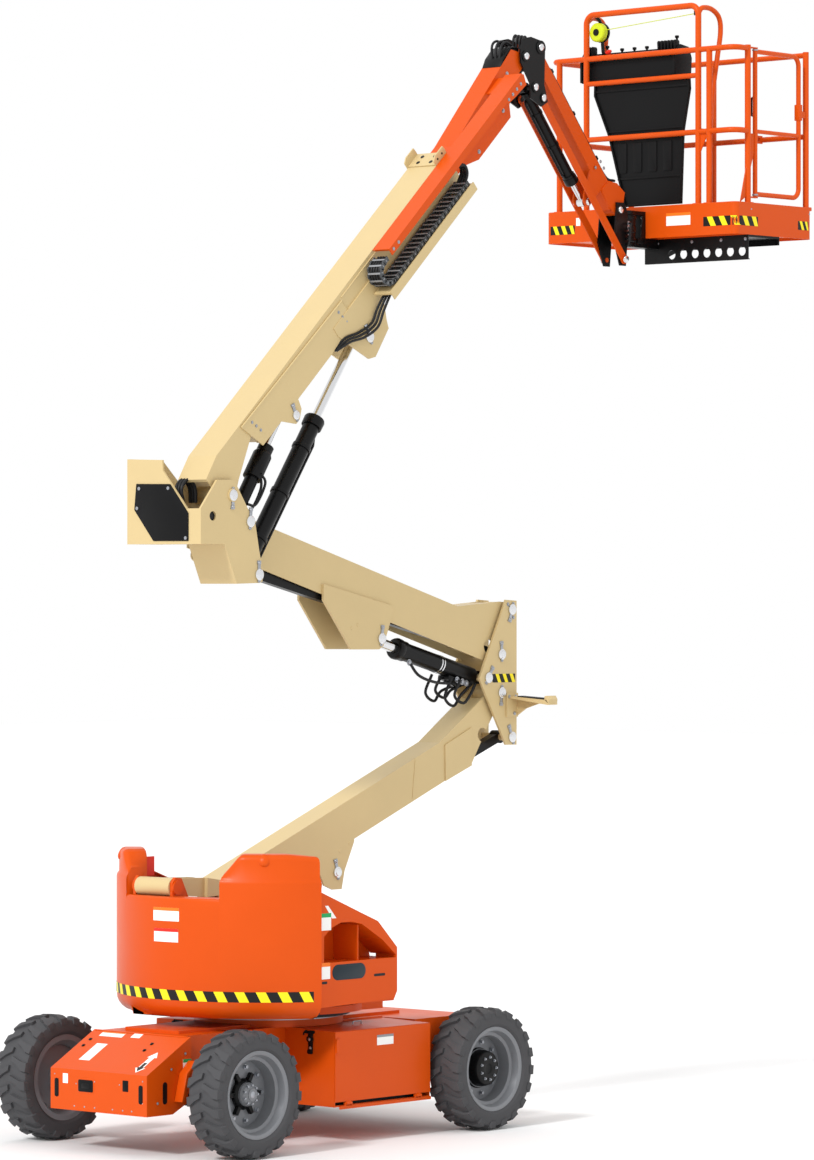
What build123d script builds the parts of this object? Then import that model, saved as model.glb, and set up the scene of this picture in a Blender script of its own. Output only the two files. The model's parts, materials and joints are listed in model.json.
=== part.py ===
"""Articulating boom lift: every node of the machine, built in millimetres."""
import math
import os

from build123d import *

# ---------------------------------------------------------------- frame
SLEW_X = -1327.5          # slewing axis in the part's frame; the middle of the machine is X = 0
AXLE_X = 1000.0           # axles ahead of and behind the slewing axis

# ---------------------------------------------------------------- fits
PIN_FIT = 0.05            # radial room of a pin in its bore
SLIDE_FIT = 1.0           # gap at the wear pads
SIDE_GAP = 2.0            # axial room of a boss between its plates
STUB_GAP = 0.5            # room between a rod eye and the pin stubs beside it

# ---------------------------------------------------------------- wheels
TYRE_R, TYRE_W, TRACK = 355.0, 240.0, 1510.0
RIM_R = 245.0
KINGPIN_Y, KINGPIN_R = 575.0, 20.0
ARM_X = 170.0             # steering arm, kingpin to tie-rod pin
TIE_Z = 282.0
STEER_DEG = 36.0
SPINDLE_R = 34.0
WHEEL_Y = TRACK / 2

# ---------------------------------------------------------------- chassis
NOSE_X, NOSE_HALF = -1385.0, 378.0
SLOPE_X, DECK_Z = -1038.0, 650.0
BOX_X0, BOX_X1, BOX_Y, BOX_Z0, BOX_Z1 = -203.0, 612.0, 700.0, 214.0, 640.0
FRAME_HALF, FRAME_Z0 = 320.0, 330.0
DOOR_HINGE_Z = 232.0

# ---------------------------------------------------------------- turntable
HOOD_R, HOOD_Z0, HOOD_TOP, SHOULDER_Z = 875.0, 726.0, 1660.0, 1520.0
NOTCH_HALF, NOTCH_Z = 365.0, 1405.0
BASE_Z0, BASE_Z1 = 726.0, 766.0

# ---------------------------------------------------------------- tower, in the middle plane of the tower
TOWER_Y, TOWER_HALF = 170.0, 86.0
T1 = (115.0 - HOOD_R, 1454.0)
LINK = (96.0, -273.0)                       # offset of every lower pin from its upper one
P4 = (2129.0, 2508.0)
P5 = (P4[0] + LINK[0], P4[1] + LINK[1])
T2 = (T1[0] + LINK[0], T1[1] + LINK[1])
P2 = (2129.0, 2741.0)
P1 = (P2[0] + 96.0, P2[1] + 273.0)
P3 = (2005.0, 2600.0)
M_PIN = (-350.0, 3607.0)
N_PIN = (M_PIN[0] - 96.0, M_PIN[1] - 273.0)
LOW_PIN = (679.0, 1475.0)
LOW_BASE = (-600.0, 830.0)
MID_PIN = (1048.0, 2846.0)
PIN_R, BOSS_R = 22.0, 46.0
U1_Y0, U1_Y1, PLATE = 50.0, 290.0, 15.0

# ---------------------------------------------------------------- main boom, in its own plane
BOOM_Y = -115.0
A_PIN = (-571.0, 3673.0)
BOOM_DEG = 42.936
BOOM_HALF, BOOM_T0, BOOM_T1, BOOM_END = 110.0, 14.0, 230.0, 2770.0
WALL = 8.0
B_PIN = (-428.0, 3525.0)
C_PIN = (-356.0, 3224.0)
LVL_S = (719.0, -32.0)
LIFT_S = (1500.0, -116.0)
U2_HALF = 142.0
TAIL_X, TAIL_FAR = -830.0, 323.0
FLY_HALF, FLY_T0, FLY_T1, FLY_START = 75.0, 42.0, 193.0, 500.0
FLY_TRAVEL = 1800.0

# ---------------------------------------------------------------- jib
J1 = (2050.0, 6361.0)
J2 = (2141.0, 6180.0)
J3 = (2190.0, 6425.0)
J4 = (2215.0, 6120.0)
JIB = (800.0, -940.0)
K3 = (J3[0] + JIB[0], J3[1] + JIB[1])
K4 = (J4[0] + JIB[0], J4[1] + JIB[1])
JC_PIN = (2700.0, 5520.0)
JPIN_R = 15.0

# ---------------------------------------------------------------- platform
ROT_X, ROT_R = 3125.0, 62.0
PF_X0, PF_X1, PF_HALF = 3261.0, 4040.0, 760.0
PF_Z0, PF_Z1 = 5322.0, 5517.0
RAIL_Z, MID_Z, HOOP_Z = 6474.0, 5965.0, 6750.0
TUBE_R = 19.0
POST_X = 3419.0
GATE_X0, GATE_X1, GATE_Z0, GATE_Z1 = 3492.0, 3935.0, 5577.0, 6458.0
BEARER_Z = HOOP_Z - 434.0
CONSOLE_Y0, CONSOLE_Y1, CONSOLE_DEEP = -345.0, 392.0, 150.0

COS, SIN = math.cos(math.radians(BOOM_DEG)), math.sin(math.radians(BOOM_DEG))


def boom(s, t):
    """World X, Z of a point of the main boom."""
    return (A_PIN[0] + s * COS - t * SIN, A_PIN[1] + s * SIN + t * COS)


def swung(centre, p, deg):
    """Where pin p stands after a turn about centre in the X, Z plane."""
    c, s = math.cos(math.radians(deg)), math.sin(math.radians(deg))
    x, z = p[0] - centre[0], p[1] - centre[1]
    return (centre[0] + x * c - z * s, centre[1] + x * s + z * c)


def slab(points, y0, y1):
    """Closed outline of X, Z points, filled from y0 to y1."""
    wire = Wire.make_polygon([Vector(x, y0, z) for x, z in points], close=True)
    return Part() + Solid.extrude(Face(wire), Vector(0, y1 - y0, 0))


def flat(points, z0, z1):
    """Closed outline of X, Y points, filled from z0 to z1."""
    wire = Wire.make_polygon([Vector(x, y, z0) for x, y in points], close=True)
    return Part() + Solid.extrude(Face(wire), Vector(0, 0, z1 - z0))


def across(points, x0, x1):
    """Closed outline of Y, Z points, filled from x0 to x1."""
    wire = Wire.make_polygon([Vector(x0, y, z) for y, z in points], close=True)
    return Part() + Solid.extrude(Face(wire), Vector(x1 - x0, 0, 0))


def block(x0, x1, y0, y1, z0, z1):
    return Pos((x0 + x1) / 2, (y0 + y1) / 2, (z0 + z1) / 2) * Box(abs(x1 - x0), abs(y1 - y0), abs(z1 - z0))


def rod(p, q, r, hole=0.0):
    """Round bar from p to q, bored right through when a hole is given."""
    a, b = Vector(*p), Vector(*q)
    d = b - a
    place = Plane(origin=a, z_dir=d.normalized())
    body = place * Cylinder(r, d.length, align=(Align.CENTER, Align.CENTER, Align.MIN))
    if hole:
        long = Plane(origin=a - d.normalized() * 5, z_dir=d.normalized())
        body -= long * Cylinder(hole, d.length + 10, align=(Align.CENTER, Align.CENTER, Align.MIN))
    return body


def pin(xz, y0, y1, r=PIN_R):
    """Pin along Y."""
    return rod((xz[0], y0, xz[1]), (xz[0], y1, xz[1]), r)


def eye(xz, y0, y1, r, hole):
    return rod((xz[0], y0, xz[1]), (xz[0], y1, xz[1]), r, hole)


def bore(xz, y0, y1, r):
    return pin(xz, y0, y1, r)


def headed(xz, y0, y1, r=PIN_R, head=8.0, grow=1.45):
    """Pin with a flat head proud of the plates at both ends."""
    return pin(xz, y0 - head, y1 + head, r) + pin(xz, y0 - head, y0, r * grow) + pin(xz, y1, y1 + head, r * grow)


def stubs(xz, y0, y1, mid, half, r):
    """Pair of short pins, one from each bracket plate, that stop short of the eye between them."""
    near = pin(xz, y0 - 8, mid - half - STUB_GAP, r) + pin(xz, y0 - 8, y0, r * 1.45)
    far = pin(xz, mid + half + STUB_GAP, y1 + 8, r) + pin(xz, y1, y1 + 8, r * 1.45)
    return near + far


def bent_tube(points, r, bend):
    """Round tube along straight runs with rounded corners."""
    path = FilletPolyline(*points, radius=bend) if len(points) > 2 else Line(*points)
    start = path @ 0
    return sweep(Plane(origin=start, z_dir=path % 0) * Circle(r), path=path)


def ring(outer, inner, z0, z1, x=0.0, y=0.0):
    body = Pos(x, y, (z0 + z1) / 2) * Cylinder(outer, z1 - z0)
    return body - Pos(x, y, (z0 + z1) / 2) * Cylinder(inner, z1 - z0 + 2) if inner else body


def turned(profile, x, y, z, side):
    """Revolve a table of (offset outwards along Y, radius) about the wheel's axis."""
    wire = Wire.make_polygon([Vector(x, y + side * o, z + r) for o, r in profile], close=True)
    return Part() + Solid.revolve(Face(wire), 360, Axis((x, y, z), (0, 1, 0)))


# ================================================================ chassis
def chassis_frame():
    body = block(-1032, 1160, -FRAME_HALF, FRAME_HALF, FRAME_Z0, DECK_Z)
    body -= block(-1020, 1150, -FRAME_HALF + 10, FRAME_HALF - 10, FRAME_Z0 + 10, DECK_Z - 12)
    for s in (-1, 1):
        wing = block(640, 1160, s * FRAME_HALF, s * 560, 360, DECK_Z)
        wing -= block(650, 1150, s * (FRAME_HALF - 10), s * 552, 370, DECK_Z - 10)
        body += wing
    body += ring(430, 300, DECK_Z, 690)
    body += block(-960, 900, -210, 210, DECK_Z, 668) - ring(300, 0, DECK_Z - 5, 700)
    body -= ring(300, 0, DECK_Z - 14, DECK_Z + 20)
    # tie-down lugs under the drive end
    for s in (-1, 1):
        lug = block(1150, 1215, s * 250 - 12, s * 250 + 12, 380, 460)
        lug -= rod((1185, s * 250 - 20, 420), (1185, s * 250 + 20, 420), 20)
        body += lug
    return body


def front_cover():
    out = [(NOSE_X, 230), (NOSE_X, 458), (SLOPE_X, DECK_Z), (-1032, DECK_Z), (-1032, 300), (-1180, 230)]
    body = slab(out, -NOSE_HALF, NOSE_HALF)
    inn = [(NOSE_X + 8, 200), (NOSE_X + 8, 453), (SLOPE_X, DECK_Z - 8), (-1000, DECK_Z - 8), (-1000, 200)]
    body -= slab(inn, -NOSE_HALF + 8, NOSE_HALF - 8)
    for y in (-330, 330):
        body -= block(NOSE_X - 5, NOSE_X + 20, y - 16, y + 16, 300, 400)
    body -= block(-1058, -1000, -400, 400, 0, 335)
    return body


def steer_axle():
    x = -AXLE_X
    body = block(x - 55, x + 55, -KINGPIN_Y + 70, KINGPIN_Y - 70, FRAME_Z0 - 62, FRAME_Z0 - 0.3)
    for s in (-1, 1):
        y = s * KINGPIN_Y
        body += block(x - 55, x + 55, s * (KINGPIN_Y - 78), s * (KINGPIN_Y - 58), 232, 478)
        for z in (232, 448):
            body += ring(44, 0, z, z + 30, x, y)
            body += block(x - 44, x + 44, y, s * (KINGPIN_Y - 60), z, z + 30)
        body += rod((x, y, 226), (x, y, 484), KINGPIN_R)
        # room for the steering arm at full lock
        body -= block(x + 10, x + 60, s * (KINGPIN_Y - 95), s * (KINGPIN_Y - 56), TIE_Z - 26, TIE_Z + 14)
    return body


def knuckle(s):
    x, y = -AXLE_X, s * KINGPIN_Y
    body = rod((x, y, 264), (x, y, 446), 38)
    body += rod((x, y, TYRE_R), (x, s * (WHEEL_Y + 62), TYRE_R), SPINDLE_R)
    body += rod((x, s * (KINGPIN_Y + 36), TYRE_R), (x, s * (KINGPIN_Y + 60), TYRE_R), 70)
    body += block(x, x + ARM_X, y - 22, y + 22, TIE_Z - 16, TIE_Z + 4)
    body += ring(26, 0, TIE_Z - 16, TIE_Z + 4, x + ARM_X, y)
    body += rod((x + ARM_X, y, TIE_Z + 4), (x + ARM_X, y, TIE_Z + 40), 12)
    body += ring(20, 0, TIE_Z + 36, TIE_Z + 42, x + ARM_X, y)
    body -= rod((x, y, 200), (x, y, 520), KINGPIN_R + PIN_FIT)
    return body


def tie_rod():
    x, z = -AXLE_X + ARM_X, TIE_Z
    body = rod((x, -KINGPIN_Y + 20, z + 20), (x, KINGPIN_Y - 20, z + 20), 12)
    for s in (-1, 1):
        body += ring(25, 0, z + 6, z + 34, x, s * KINGPIN_Y)
    for s in (-1, 1):
        body -= rod((x, s * KINGPIN_Y, z), (x, s * KINGPIN_Y, z + 60), 12 + PIN_FIT)
    return body


def tyre(x, s):
    y = s * WHEEL_Y
    half = TYRE_W / 2
    prof = [(-half + 20, RIM_R), (-half, RIM_R + 25), (-half, TYRE_R - 42), (-half + 22, TYRE_R - 4), (-half + 40, TYRE_R),
            (half - 40, TYRE_R), (half - 22, TYRE_R - 4), (half, TYRE_R - 42), (half, RIM_R + 25), (half - 20, RIM_R)]
    return turned(prof, x, y, TYRE_R, s)


def rim(x, s, hub):
    """Deep-dish rim; the steer wheels turn on the spindle, the drive wheels on the hub drum."""
    y = s * WHEEL_Y
    face = [(-24, 198), (-34, 198), (-34, hub), (-24, hub)]
    shell = [(104, 245), (104, 236), (98, 222), (58, 210), (52, 192), (-60, 186), (-100, 214), (-100, 245), (-92, 245),
             (-92, 222), (-56, 196), (44, 202), (52, 220), (92, 230), (96, 245)]
    body = turned(face, x, y, TYRE_R, s) + turned([(o, r) for o, r in shell], x, y, TYRE_R, s)
    return body


def steer_rim(s):
    x, y = -AXLE_X, s * WHEEL_Y
    body = rim(x, s, SPINDLE_R + PIN_FIT)
    body += turned([(-60, SPINDLE_R + PIN_FIT), (-60, 62), (-24, 72), (28, 66), (44, 56), (44, SPINDLE_R + PIN_FIT)], x, y, TYRE_R, s)
    body += turned([(64, 0), (64, 26), (44, 56), (44, SPINDLE_R + PIN_FIT), (63.5, SPINDLE_R + PIN_FIT), (63.5, 0)], x, y, TYRE_R, s)
    return body


DRUM_R = 95.0


def drive_rim(s):
    x, y = AXLE_X, s * WHEEL_Y
    body = rim(x, s, DRUM_R + PIN_FIT)
    body += turned([(-34, DRUM_R + PIN_FIT), (-34, 112), (-10, 112), (-10, DRUM_R + PIN_FIT)], x, y, TYRE_R, s)
    return body


def drive_axle():
    x = AXLE_X
    body = block(x - 70, x + 70, -578, 578, FRAME_Z0 - 60, FRAME_Z0) - block(x - 60, x + 60, -300, 300, 200, FRAME_Z0 - 5)
    for s in (-1, 1):
        body += rod((x, s * 561, TYRE_R), (x, s * (WHEEL_Y + 52), TYRE_R), DRUM_R)
        body += rod((x, s * 561, TYRE_R), (x, s * (WHEEL_Y - TYRE_W / 2 - 8), TYRE_R), 110)
        body += block(x - 70, x + 70, s * 561, s * 578, FRAME_Z0 - 60, 470)
    return body


def slew_ring():
    return ring(430, 330, 690.3, 714)


def battery_box(s):
    y0, y1 = FRAME_HALF, BOX_Y
    out = [(s * y0, BOX_Z0), (s * y1, BOX_Z0), (s * y1, BOX_Z1), (s * y0, BOX_Z1 + 10)]
    body = across(out, BOX_X0, BOX_X1)
    body -= block(BOX_X0 + 6, BOX_X1 - 6, s * (y0 + 6), s * (y1 + 20), BOX_Z0 + 8, BOX_Z1 - 8)
    body += block(BOX_X0 + 40, BOX_X1, s * y1, s * (y1 + 10), BOX_Z0 - 14, BOX_Z0 + 4)
    for x in (BOX_X0 + 110, BOX_X1 - 110):
        body += rod((x - 30, s * (y1 + 6), DOOR_HINGE_Z), (x + 30, s * (y1 + 6), DOOR_HINGE_Z), 5)
        for e in (-30, 24):
            body += block(x + e, x + e + 6, s * (y1 - 2), s * (y1 + 12), BOX_Z0 - 4, DOOR_HINGE_Z + 6)
    return body


def battery_door(s):
    y1 = BOX_Y
    body = block(BOX_X0 + 2, BOX_X1 - 2, s * (y1 + 1), s * (y1 + 6), DOOR_HINGE_Z + 10, BOX_Z1 - 2)
    for x in (BOX_X0 + 110, BOX_X1 - 110):
        body += block(x - 20, x + 20, s * (y1 + 1), s * (y1 + 6), DOOR_HINGE_Z, DOOR_HINGE_Z + 12)
        body += rod((x - 20, s * (y1 + 6), DOOR_HINGE_Z), (x + 20, s * (y1 + 6), DOOR_HINGE_Z), 10)
        body -= rod((x - 40, s * (y1 + 6), DOOR_HINGE_Z), (x + 40, s * (y1 + 6), DOOR_HINGE_Z), 5 + PIN_FIT)
    body += block(BOX_X0 + 4, BOX_X0 + 34, s * (y1 + 6), s * (y1 + 16), 520, 600)
    return body


def battery_pack(s):
    return block(BOX_X0 + 40, BOX_X1 - 40, s * (FRAME_HALF + 40), s * (BOX_Y - 30), BOX_Z0 + 8, 560)


# ================================================================ turntable
def turntable_frame():
    body = ring(560, 260, BASE_Z0, BASE_Z1) + ring(425, 332, 714.3, BASE_Z0)
    # clevis plates of the tower's tail
    back = T1[0] - 40
    side = [(back, BASE_Z1 - 40), (back, 1480), (back + 25, 1512), (back + 75, 1505), (-600, 1260), (-330, 1060),
            (-160, BASE_Z1 - 40)]
    for y0, y1 in ((-6, 14), (286, 306)):
        body += slab(side, y0, y1)
    body += block(back, -160, -6, 306, BASE_Z1 - 40, BASE_Z1)
    body += block(back, back + 12, -6, 306, BASE_Z1 - 40, 1100)
    body += headed(T1, -6, 306, PIN_R + 6)
    body += headed(T2, -6, 306, PIN_R)
    body += headed(LOW_BASE, -6, 306, PIN_R)
    # side beams that carry the cowls and the counterweight
    for s in (-1, 1):
        body += block(-420, 430, s * 480, s * 500, BASE_Z0, 1000)
        body += block(-420, 430, s * 200, s * 500, BASE_Z0, BASE_Z1)
    body += block(-640, -300, -330, 330, BASE_Z0, BASE_Z0 + 14)
    return body


def wedge(a0, a1, r, z0, z1):
    """Sector of a disc between two azimuths; 0 is straight back, positive to the far side."""
    pts = [(0.0, 0.0)]
    n = max(3, int(abs(a1 - a0) / 6))
    for i in range(n + 1):
        a = math.radians(a0 + (a1 - a0) * i / n)
        pts.append((-r * math.cos(a), r * math.sin(a)))
    return flat(pts, z0, z1)


HOOD_A = 63.0


def counterweight():
    outer = ring(HOOD_R, 0, HOOD_Z0, SHOULDER_Z)
    outer = fillet(outer.edges().filter_by(GeomType.CIRCLE).group_by(Axis.Z)[0], 95)
    outer -= block(-HOOD_R * math.cos(math.radians(HOOD_A)), 1000, -1000, 1000, 600, 1800)
    outer += wedge(20, HOOD_A, HOOD_R - 14, SHOULDER_Z - 60, HOOD_TOP) - block(-300, 400, -1000, 1000, 1300, 1800)
    outer += wedge(-HOOD_A, -20, HOOD_R - 14, SHOULDER_Z - 60, HOOD_TOP)
    outer -= ring(HOOD_R - 150, 0, 600, 2000)
    outer -= block(-1000, 0, -NOTCH_HALF, NOTCH_HALF, NOTCH_Z, 2000)
    # slug of ballast low in the tail
    slug = ring(HOOD_R - 140, 0, BASE_Z0 + 14, 1120) - block(-560, 1000, -1000, 1000, 600, 2000)
    slug -= block(-1000, 0, -60, 330, 600, 2000)
    outer += slug
    # pocket for the clevis of the tower
    outer -= block(T1[0] - 43, -500, -16, 318, 700, 2000)
    outer -= block(-397, 1000, -1000, 1000, 600, 2000)
    return outer


def cowl(s):
    """Side cowl ahead of the counterweight, with its arched recess."""
    y0, y1 = s * 745, s * 757
    side = [(-392, 790), (-392, 1560 if s > 0 else 1446), (-60, 1440 if s > 0 else 1317), (102, 1255), (266, 1098), (266, 850), (240, 805)]
    body = slab(side, min(y0, y1), max(y0, y1))
    if s < 0:
        arch = [(-353, 1040), (-353, 1188), (-290, 1235), (-211, 1262), (-120, 1262), (-34, 1245), (136, 1150), (256, 1056), (256, 1040)]
        body -= slab(arch, min(y0, y1) - 5, max(y0, y1) + 5)
    body += block(-392, 250, s * 500, s * 746, 795, 807)
    body += block(-392, -380, s * 500, s * 750, 795, 1400)
    # inner wall behind the arch
    wall = [(-380, 1030), (-380, 1380), (-60, 1290), (102, 1225), (240, 1090), (250, 1040)]
    body += slab(wall, s * 556 - 4, s * 556 + 4) + block(-60, -52, s * 556, s * 746, 1036, 1240)
    body += block(-380, 255, s * 500, s * 512, 800, 1030)
    top = [(s * 500, 1028), (s * 750, 1028), (s * 750, 1040), (s * 500, 1040)]
    body += across(top, -392, 258)
    return body


# ================================================================ tower
def lower_boom():
    y0, y1 = TOWER_Y - TOWER_HALF, TOWER_Y + TOWER_HALF
    slope = 0.392
    top = lambda x: 1679 + (x - 229) * slope
    out = [(-300, top(-300)), (1596, top(1596)), (2090, 2540), (2165, 2530), (2172, 2480), (2030, 2290), (1884, 2070),
           (1644, 1983), (-300, top(-300) - 247)]
    body = slab(out, y0, y1)
    inn = [(-330, top(-330) - 9), (1600, top(1600) - 9), (2300, top(2300) - 9), (2300, 2000), (1884, 2000), (1640, 1990),
           (-330, top(-330) - 238)]
    body -= slab(inn, y0 + 8, y1 - 8)
    body -= slab([(1900, 2180), (2300, 2300), (2300, 2700), (1990, 2700), (1990, 2350)], y0 + 14, y1 - 14)
    collar = [(1640, 2200), (1884, 2300), (1884, 2070), (1644, 1983)]
    body += slab(collar, y0 - 8, y0) + slab(collar, y1, y1 + 8)
    # neck and pivot tube
    neck = [(-760, 1500), (-420, 1490), (-300, top(-300)), (-300, 1385), (-420, 1380), (-760, 1408)]
    heel = [(-420, 1490), (-300, top(-300)), (-300, 1300), (-330, 1385), (-420, 1380)]
    for a, b in ((y0, TOWER_Y - 36), (TOWER_Y + 36, y1)):
        body += slab(neck, max(a, TOWER_Y - 62), min(b, TOWER_Y + 62)) + slab(heel, a, b)
    body += pin(T1, 16, 284, 53)
    body += pin(P4, U1_Y0 + PLATE + SIDE_GAP, U1_Y1 - PLATE - SIDE_GAP, BOSS_R + 4)
    lug = [(500, 1520), (570, 1400), (640, 1374), (720, 1374), (745, 1480), (830, 1650), (830, 1700), (500, 1570)]
    for y in (y0, y1 - 12):
        body += slab(lug, y, y + 12)
    body += stubs(LOW_PIN, y0, y1, TOWER_Y, 40, PIN_R)
    # the underside is open above the barrel, and nipped where the link's pin comes up
    body -= slab([(-340, 1150), (-340, 1240), (200, 1452), (200, 1350)], TOWER_Y - 72, TOWER_Y + 72)
    for deg in (36, 40, 43, 46, 48):
        body -= pin(swung(P4, P5, -deg), y0 - 20, y1 + 20, 42)
    body -= bore(T1, -50, 350, PIN_R + 6 + PIN_FIT)
    body -= bore(P4, -50, 400, PIN_R + PIN_FIT)
    return body


def bar_link(a, b, y0, y1, half, boss, hole):
    """Straight link between two pins."""
    d = math.hypot(b[0] - a[0], b[1] - a[1])
    nx, nz = -(b[1] - a[1]) / d * half, (b[0] - a[0]) / d * half
    pts = [(a[0] + nx, a[1] + nz), (b[0] + nx, b[1] + nz), (b[0] - nx, b[1] - nz), (a[0] - nx, a[1] - nz)]
    body = slab(pts, y0, y1) + pin(a, y0, y1, boss) + pin(b, y0, y1, boss)
    return body - bore(a, y0 - 50, y1 + 50, hole) - bore(b, y0 - 50, y1 + 50, hole)


def lower_link():
    return bar_link(T2, P5, TOWER_Y - 30, TOWER_Y + 30, 27, 40, PIN_R + PIN_FIT)


def mid_link():
    return bar_link(N_PIN, P2, 100, 150, 30, 35, PIN_R + PIN_FIT)


U1_OUTLINE = [(2172, 3073), (2272, 3067), (2272, 2187), (2172, 2188), (1924, 2595)]


def upright_1():
    body = slab(U1_OUTLINE, U1_Y0, U1_Y0 + PLATE) + slab(U1_OUTLINE, U1_Y1 - PLATE, U1_Y1)
    for p in (P1, P2, P3, P4, P5):
        body += headed(p, U1_Y0, U1_Y1, PIN_R)
    body += block(2262, 2272, U1_Y0, U1_Y1, 2560, 2700)
    # rest for the stowed main boom
    body += block(2168, 2272, U1_Y0 - 12, U1_Y0, 2359, 2504)
    rest = [(U1_Y0, 2486), (-60, 2480), (-255, 2466), (-275, 2440), (-130, 2440), (-30, 2410), (U1_Y0, 2360)]
    body += across(rest, 2262, 2274) + across([(U1_Y0, 2486), (-255, 2466), (-275, 2440), (-265, 2436), (U1_Y0, 2474)], 2190, 2274)
    return body


def mid_boom():
    y0, y1 = 80.0, 260.0
    top = lambda x: 3492 - (x - 121) * 0.2803
    bot = lambda x: 3255 - (x - 35) * 0.2756
    out = [(-410, top(-410)), (1755, top(1755)), (2150, 3062), (2262, 3050), (2262, 2972), (2160, 2900), (2010, 2700),
           (-410, bot(-410))]
    body = slab(out, y0, y1)
    inn = [(-440, top(-440) - 9), (1755, top(1755) - 9), (2300, top(2300) - 9), (2300, 2500), (-440, bot(-440) - 60)]
    body -= slab(inn, y0 + 8, y1 - 8)
    body -= slab([(2060, 2500), (2060, 3200), (2400, 3200), (2400, 2500)], y0 + 16, y1 - 16)
    # lips that leave the underside open for the link
    lug = [(542, 3075), (782, 2784), (1028, 2782), (1065, 2800), (1123, 2930), (1150, 2990), (1150, 3040), (542, 3170)]
    body += slab(lug, y0 - 16, y0) + slab(lug, y1, y1 + 16)
    body += slab([(560, 3060), (782, 2784), (900, 2784), (900, 2800), (792, 2802), (600, 3050)], y0 - 16, y0)
    body += stubs(MID_PIN, y0 - 16, y1 + 16, TOWER_Y, 40, PIN_R)
    # nips for the link's two pins at the ends of the tower's travel
    for deg in (6, 9, 12, 15, 18, 20):
        body -= pin(swung(P1, P2, -deg), y0 - 20, y1 + 20, 42)
    for deg in (36, 40, 43, 46, 48):
        body -= pin(swung(M_PIN, N_PIN, deg), y0 - 20, TOWER_Y, 42)
    body += pin(P1, U1_Y0 + PLATE + SIDE_GAP, U1_Y1 - PLATE - SIDE_GAP, BOSS_R)
    body += pin(M_PIN, 27 + SIDE_GAP, 309 - SIDE_GAP, BOSS_R + 4)
    body -= bore(P1, 0, 400, PIN_R + PIN_FIT)
    body -= bore(M_PIN, -50, 400, PIN_R + 4 + PIN_FIT)
    return body


U2_OUTLINE = [(-696, 3758), (-558, 3760), (-382, 3508), (-352, 3363), (-317, 3230), (-325, 3185), (-344, 3177), (-537, 3172),
              (-638, 3396), (-830, 3396), (-830, 3596)]


def upright_2():
    n0, n1 = BOOM_Y - U2_HALF, BOOM_Y + U2_HALF
    body = slab(U2_OUTLINE, n0, n0 + PLATE)
    body -= bore((-732, 3554), n0 - 5, n0 + PLATE + 5, 27)
    mid = [(-830, 3396), (-600, 3396), (-537, 3172), (-344, 3172), (-317, 3230), (-290, 3560), (-330, 3668), (-500, 3760),
           (-700, 3760), (-830, 3596)]
    body += slab(mid, n1 - PLATE + 1, n1)
    far = [(-830, 3396), (-560, 3396), (-330, 3520), (-290, 3620), (-330, 3668), (-560, 3880), (-830, 3880)]
    body += slab(far, TAIL_FAR - PLATE, TAIL_FAR)
    rear = [(TAIL_FAR, 3396), (TAIL_FAR, 3880), (45, 3872), (40, 3810), (-150, 3596), (n0, 3596), (n0, 3396)]
    body += across(rear, TAIL_X, TAIL_X + 12)
    body += block(TAIL_X, -600, n0, TAIL_FAR, 3396, 3408)
    # back of the lower legs
    wire = [(-638, 3400), (-537, 3172), (-525, 3176), (-624, 3400)]
    body += slab(wire, n0, n1)
    body += headed(A_PIN, n0, n1, PIN_R + 4)
    body += headed(B_PIN, n0, n1, PIN_R)
    body += headed(C_PIN, n0, n1, PIN_R)
    body += headed(M_PIN, n1, TAIL_FAR, PIN_R + 4)
    body += pin(N_PIN, n1 - PLATE, 164, PIN_R) + pin(N_PIN, 154, 164, PIN_R + 10)
    return body


def tail_cover():
    pts = [(310, 3828), (75, 3828), (-92, 3575), (-92, 3418), (200, 3418), (290, 3600)]
    return across(pts, TAIL_X - 6, TAIL_X)


def cylinder_pair(a, b, y, r_barrel, r_rod, length, piston, base_hole, rod_hole, width):
    """Barrel from eye a, rod to eye b; length is the barrel's from its eye, piston where the piston starts."""
    d = math.hypot(b[0] - a[0], b[1] - a[1])
    ux, uz = (b[0] - a[0]) / d, (b[1] - a[1]) / d
    at = lambda k: (a[0] + ux * k, y, a[1] + uz * k)
    barrel = rod(at(30), at(length), r_barrel)
    barrel += rod(at(length - 46), at(length), r_barrel + 6)
    barrel += pin(a, y - width, y + width, base_hole + 18)
    barrel -= rod(at(BORE_START), at(length - 46), r_rod + 14)
    barrel -= rod(at(length - 60), at(length + 5), r_rod + PIN_FIT + 0.02)
    barrel -= bore(a, y - width - 5, y + width + 5, base_hole + PIN_FIT)
    slide = rod(at(piston + 10), at(d), r_rod)
    slide += rod(at(piston), at(piston + 26), r_rod + 13.9)
    slide += pin(b, y - width, y + width, rod_hole + (18 if rod_hole > 16 else 13))
    slide -= bore(b, y - width - 5, y + width + 5, rod_hole + PIN_FIT)
    return barrel, slide


BORE_START = 70.0
LIFT_B = boom(*LIFT_S)
LVL_B = boom(*LVL_S)

CYLINDERS = {
    # name: eye a, eye b, y, barrel r, rod r, barrel length, piston start, base pin r, rod pin r, half width
    "lower_cylinder": (LOW_BASE, LOW_PIN, TOWER_Y, 58.0, 36.0, 1080.0, 290.0, PIN_R, PIN_R, 40.0),
    "tower_cylinder": (P3, MID_PIN, TOWER_Y, 55.0, 32.0, 710.0, 242.0, PIN_R, PIN_R, 40.0),
    "lift_cylinder": (C_PIN, LIFT_B, BOOM_Y, 50.0, 27.0, 1090.0, 550.0, PIN_R, PIN_R, 40.0),
    "level_cylinder": (B_PIN, LVL_B, BOOM_Y, 40.0, 18.0, 520.0, 245.0, PIN_R, PIN_R - 6, 30.0),
    "jib_cylinder": (J2, JC_PIN, BOOM_Y, 34.0, 18.0, 700.0, 126.0, JPIN_R, JPIN_R, 24.0),
}


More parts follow.
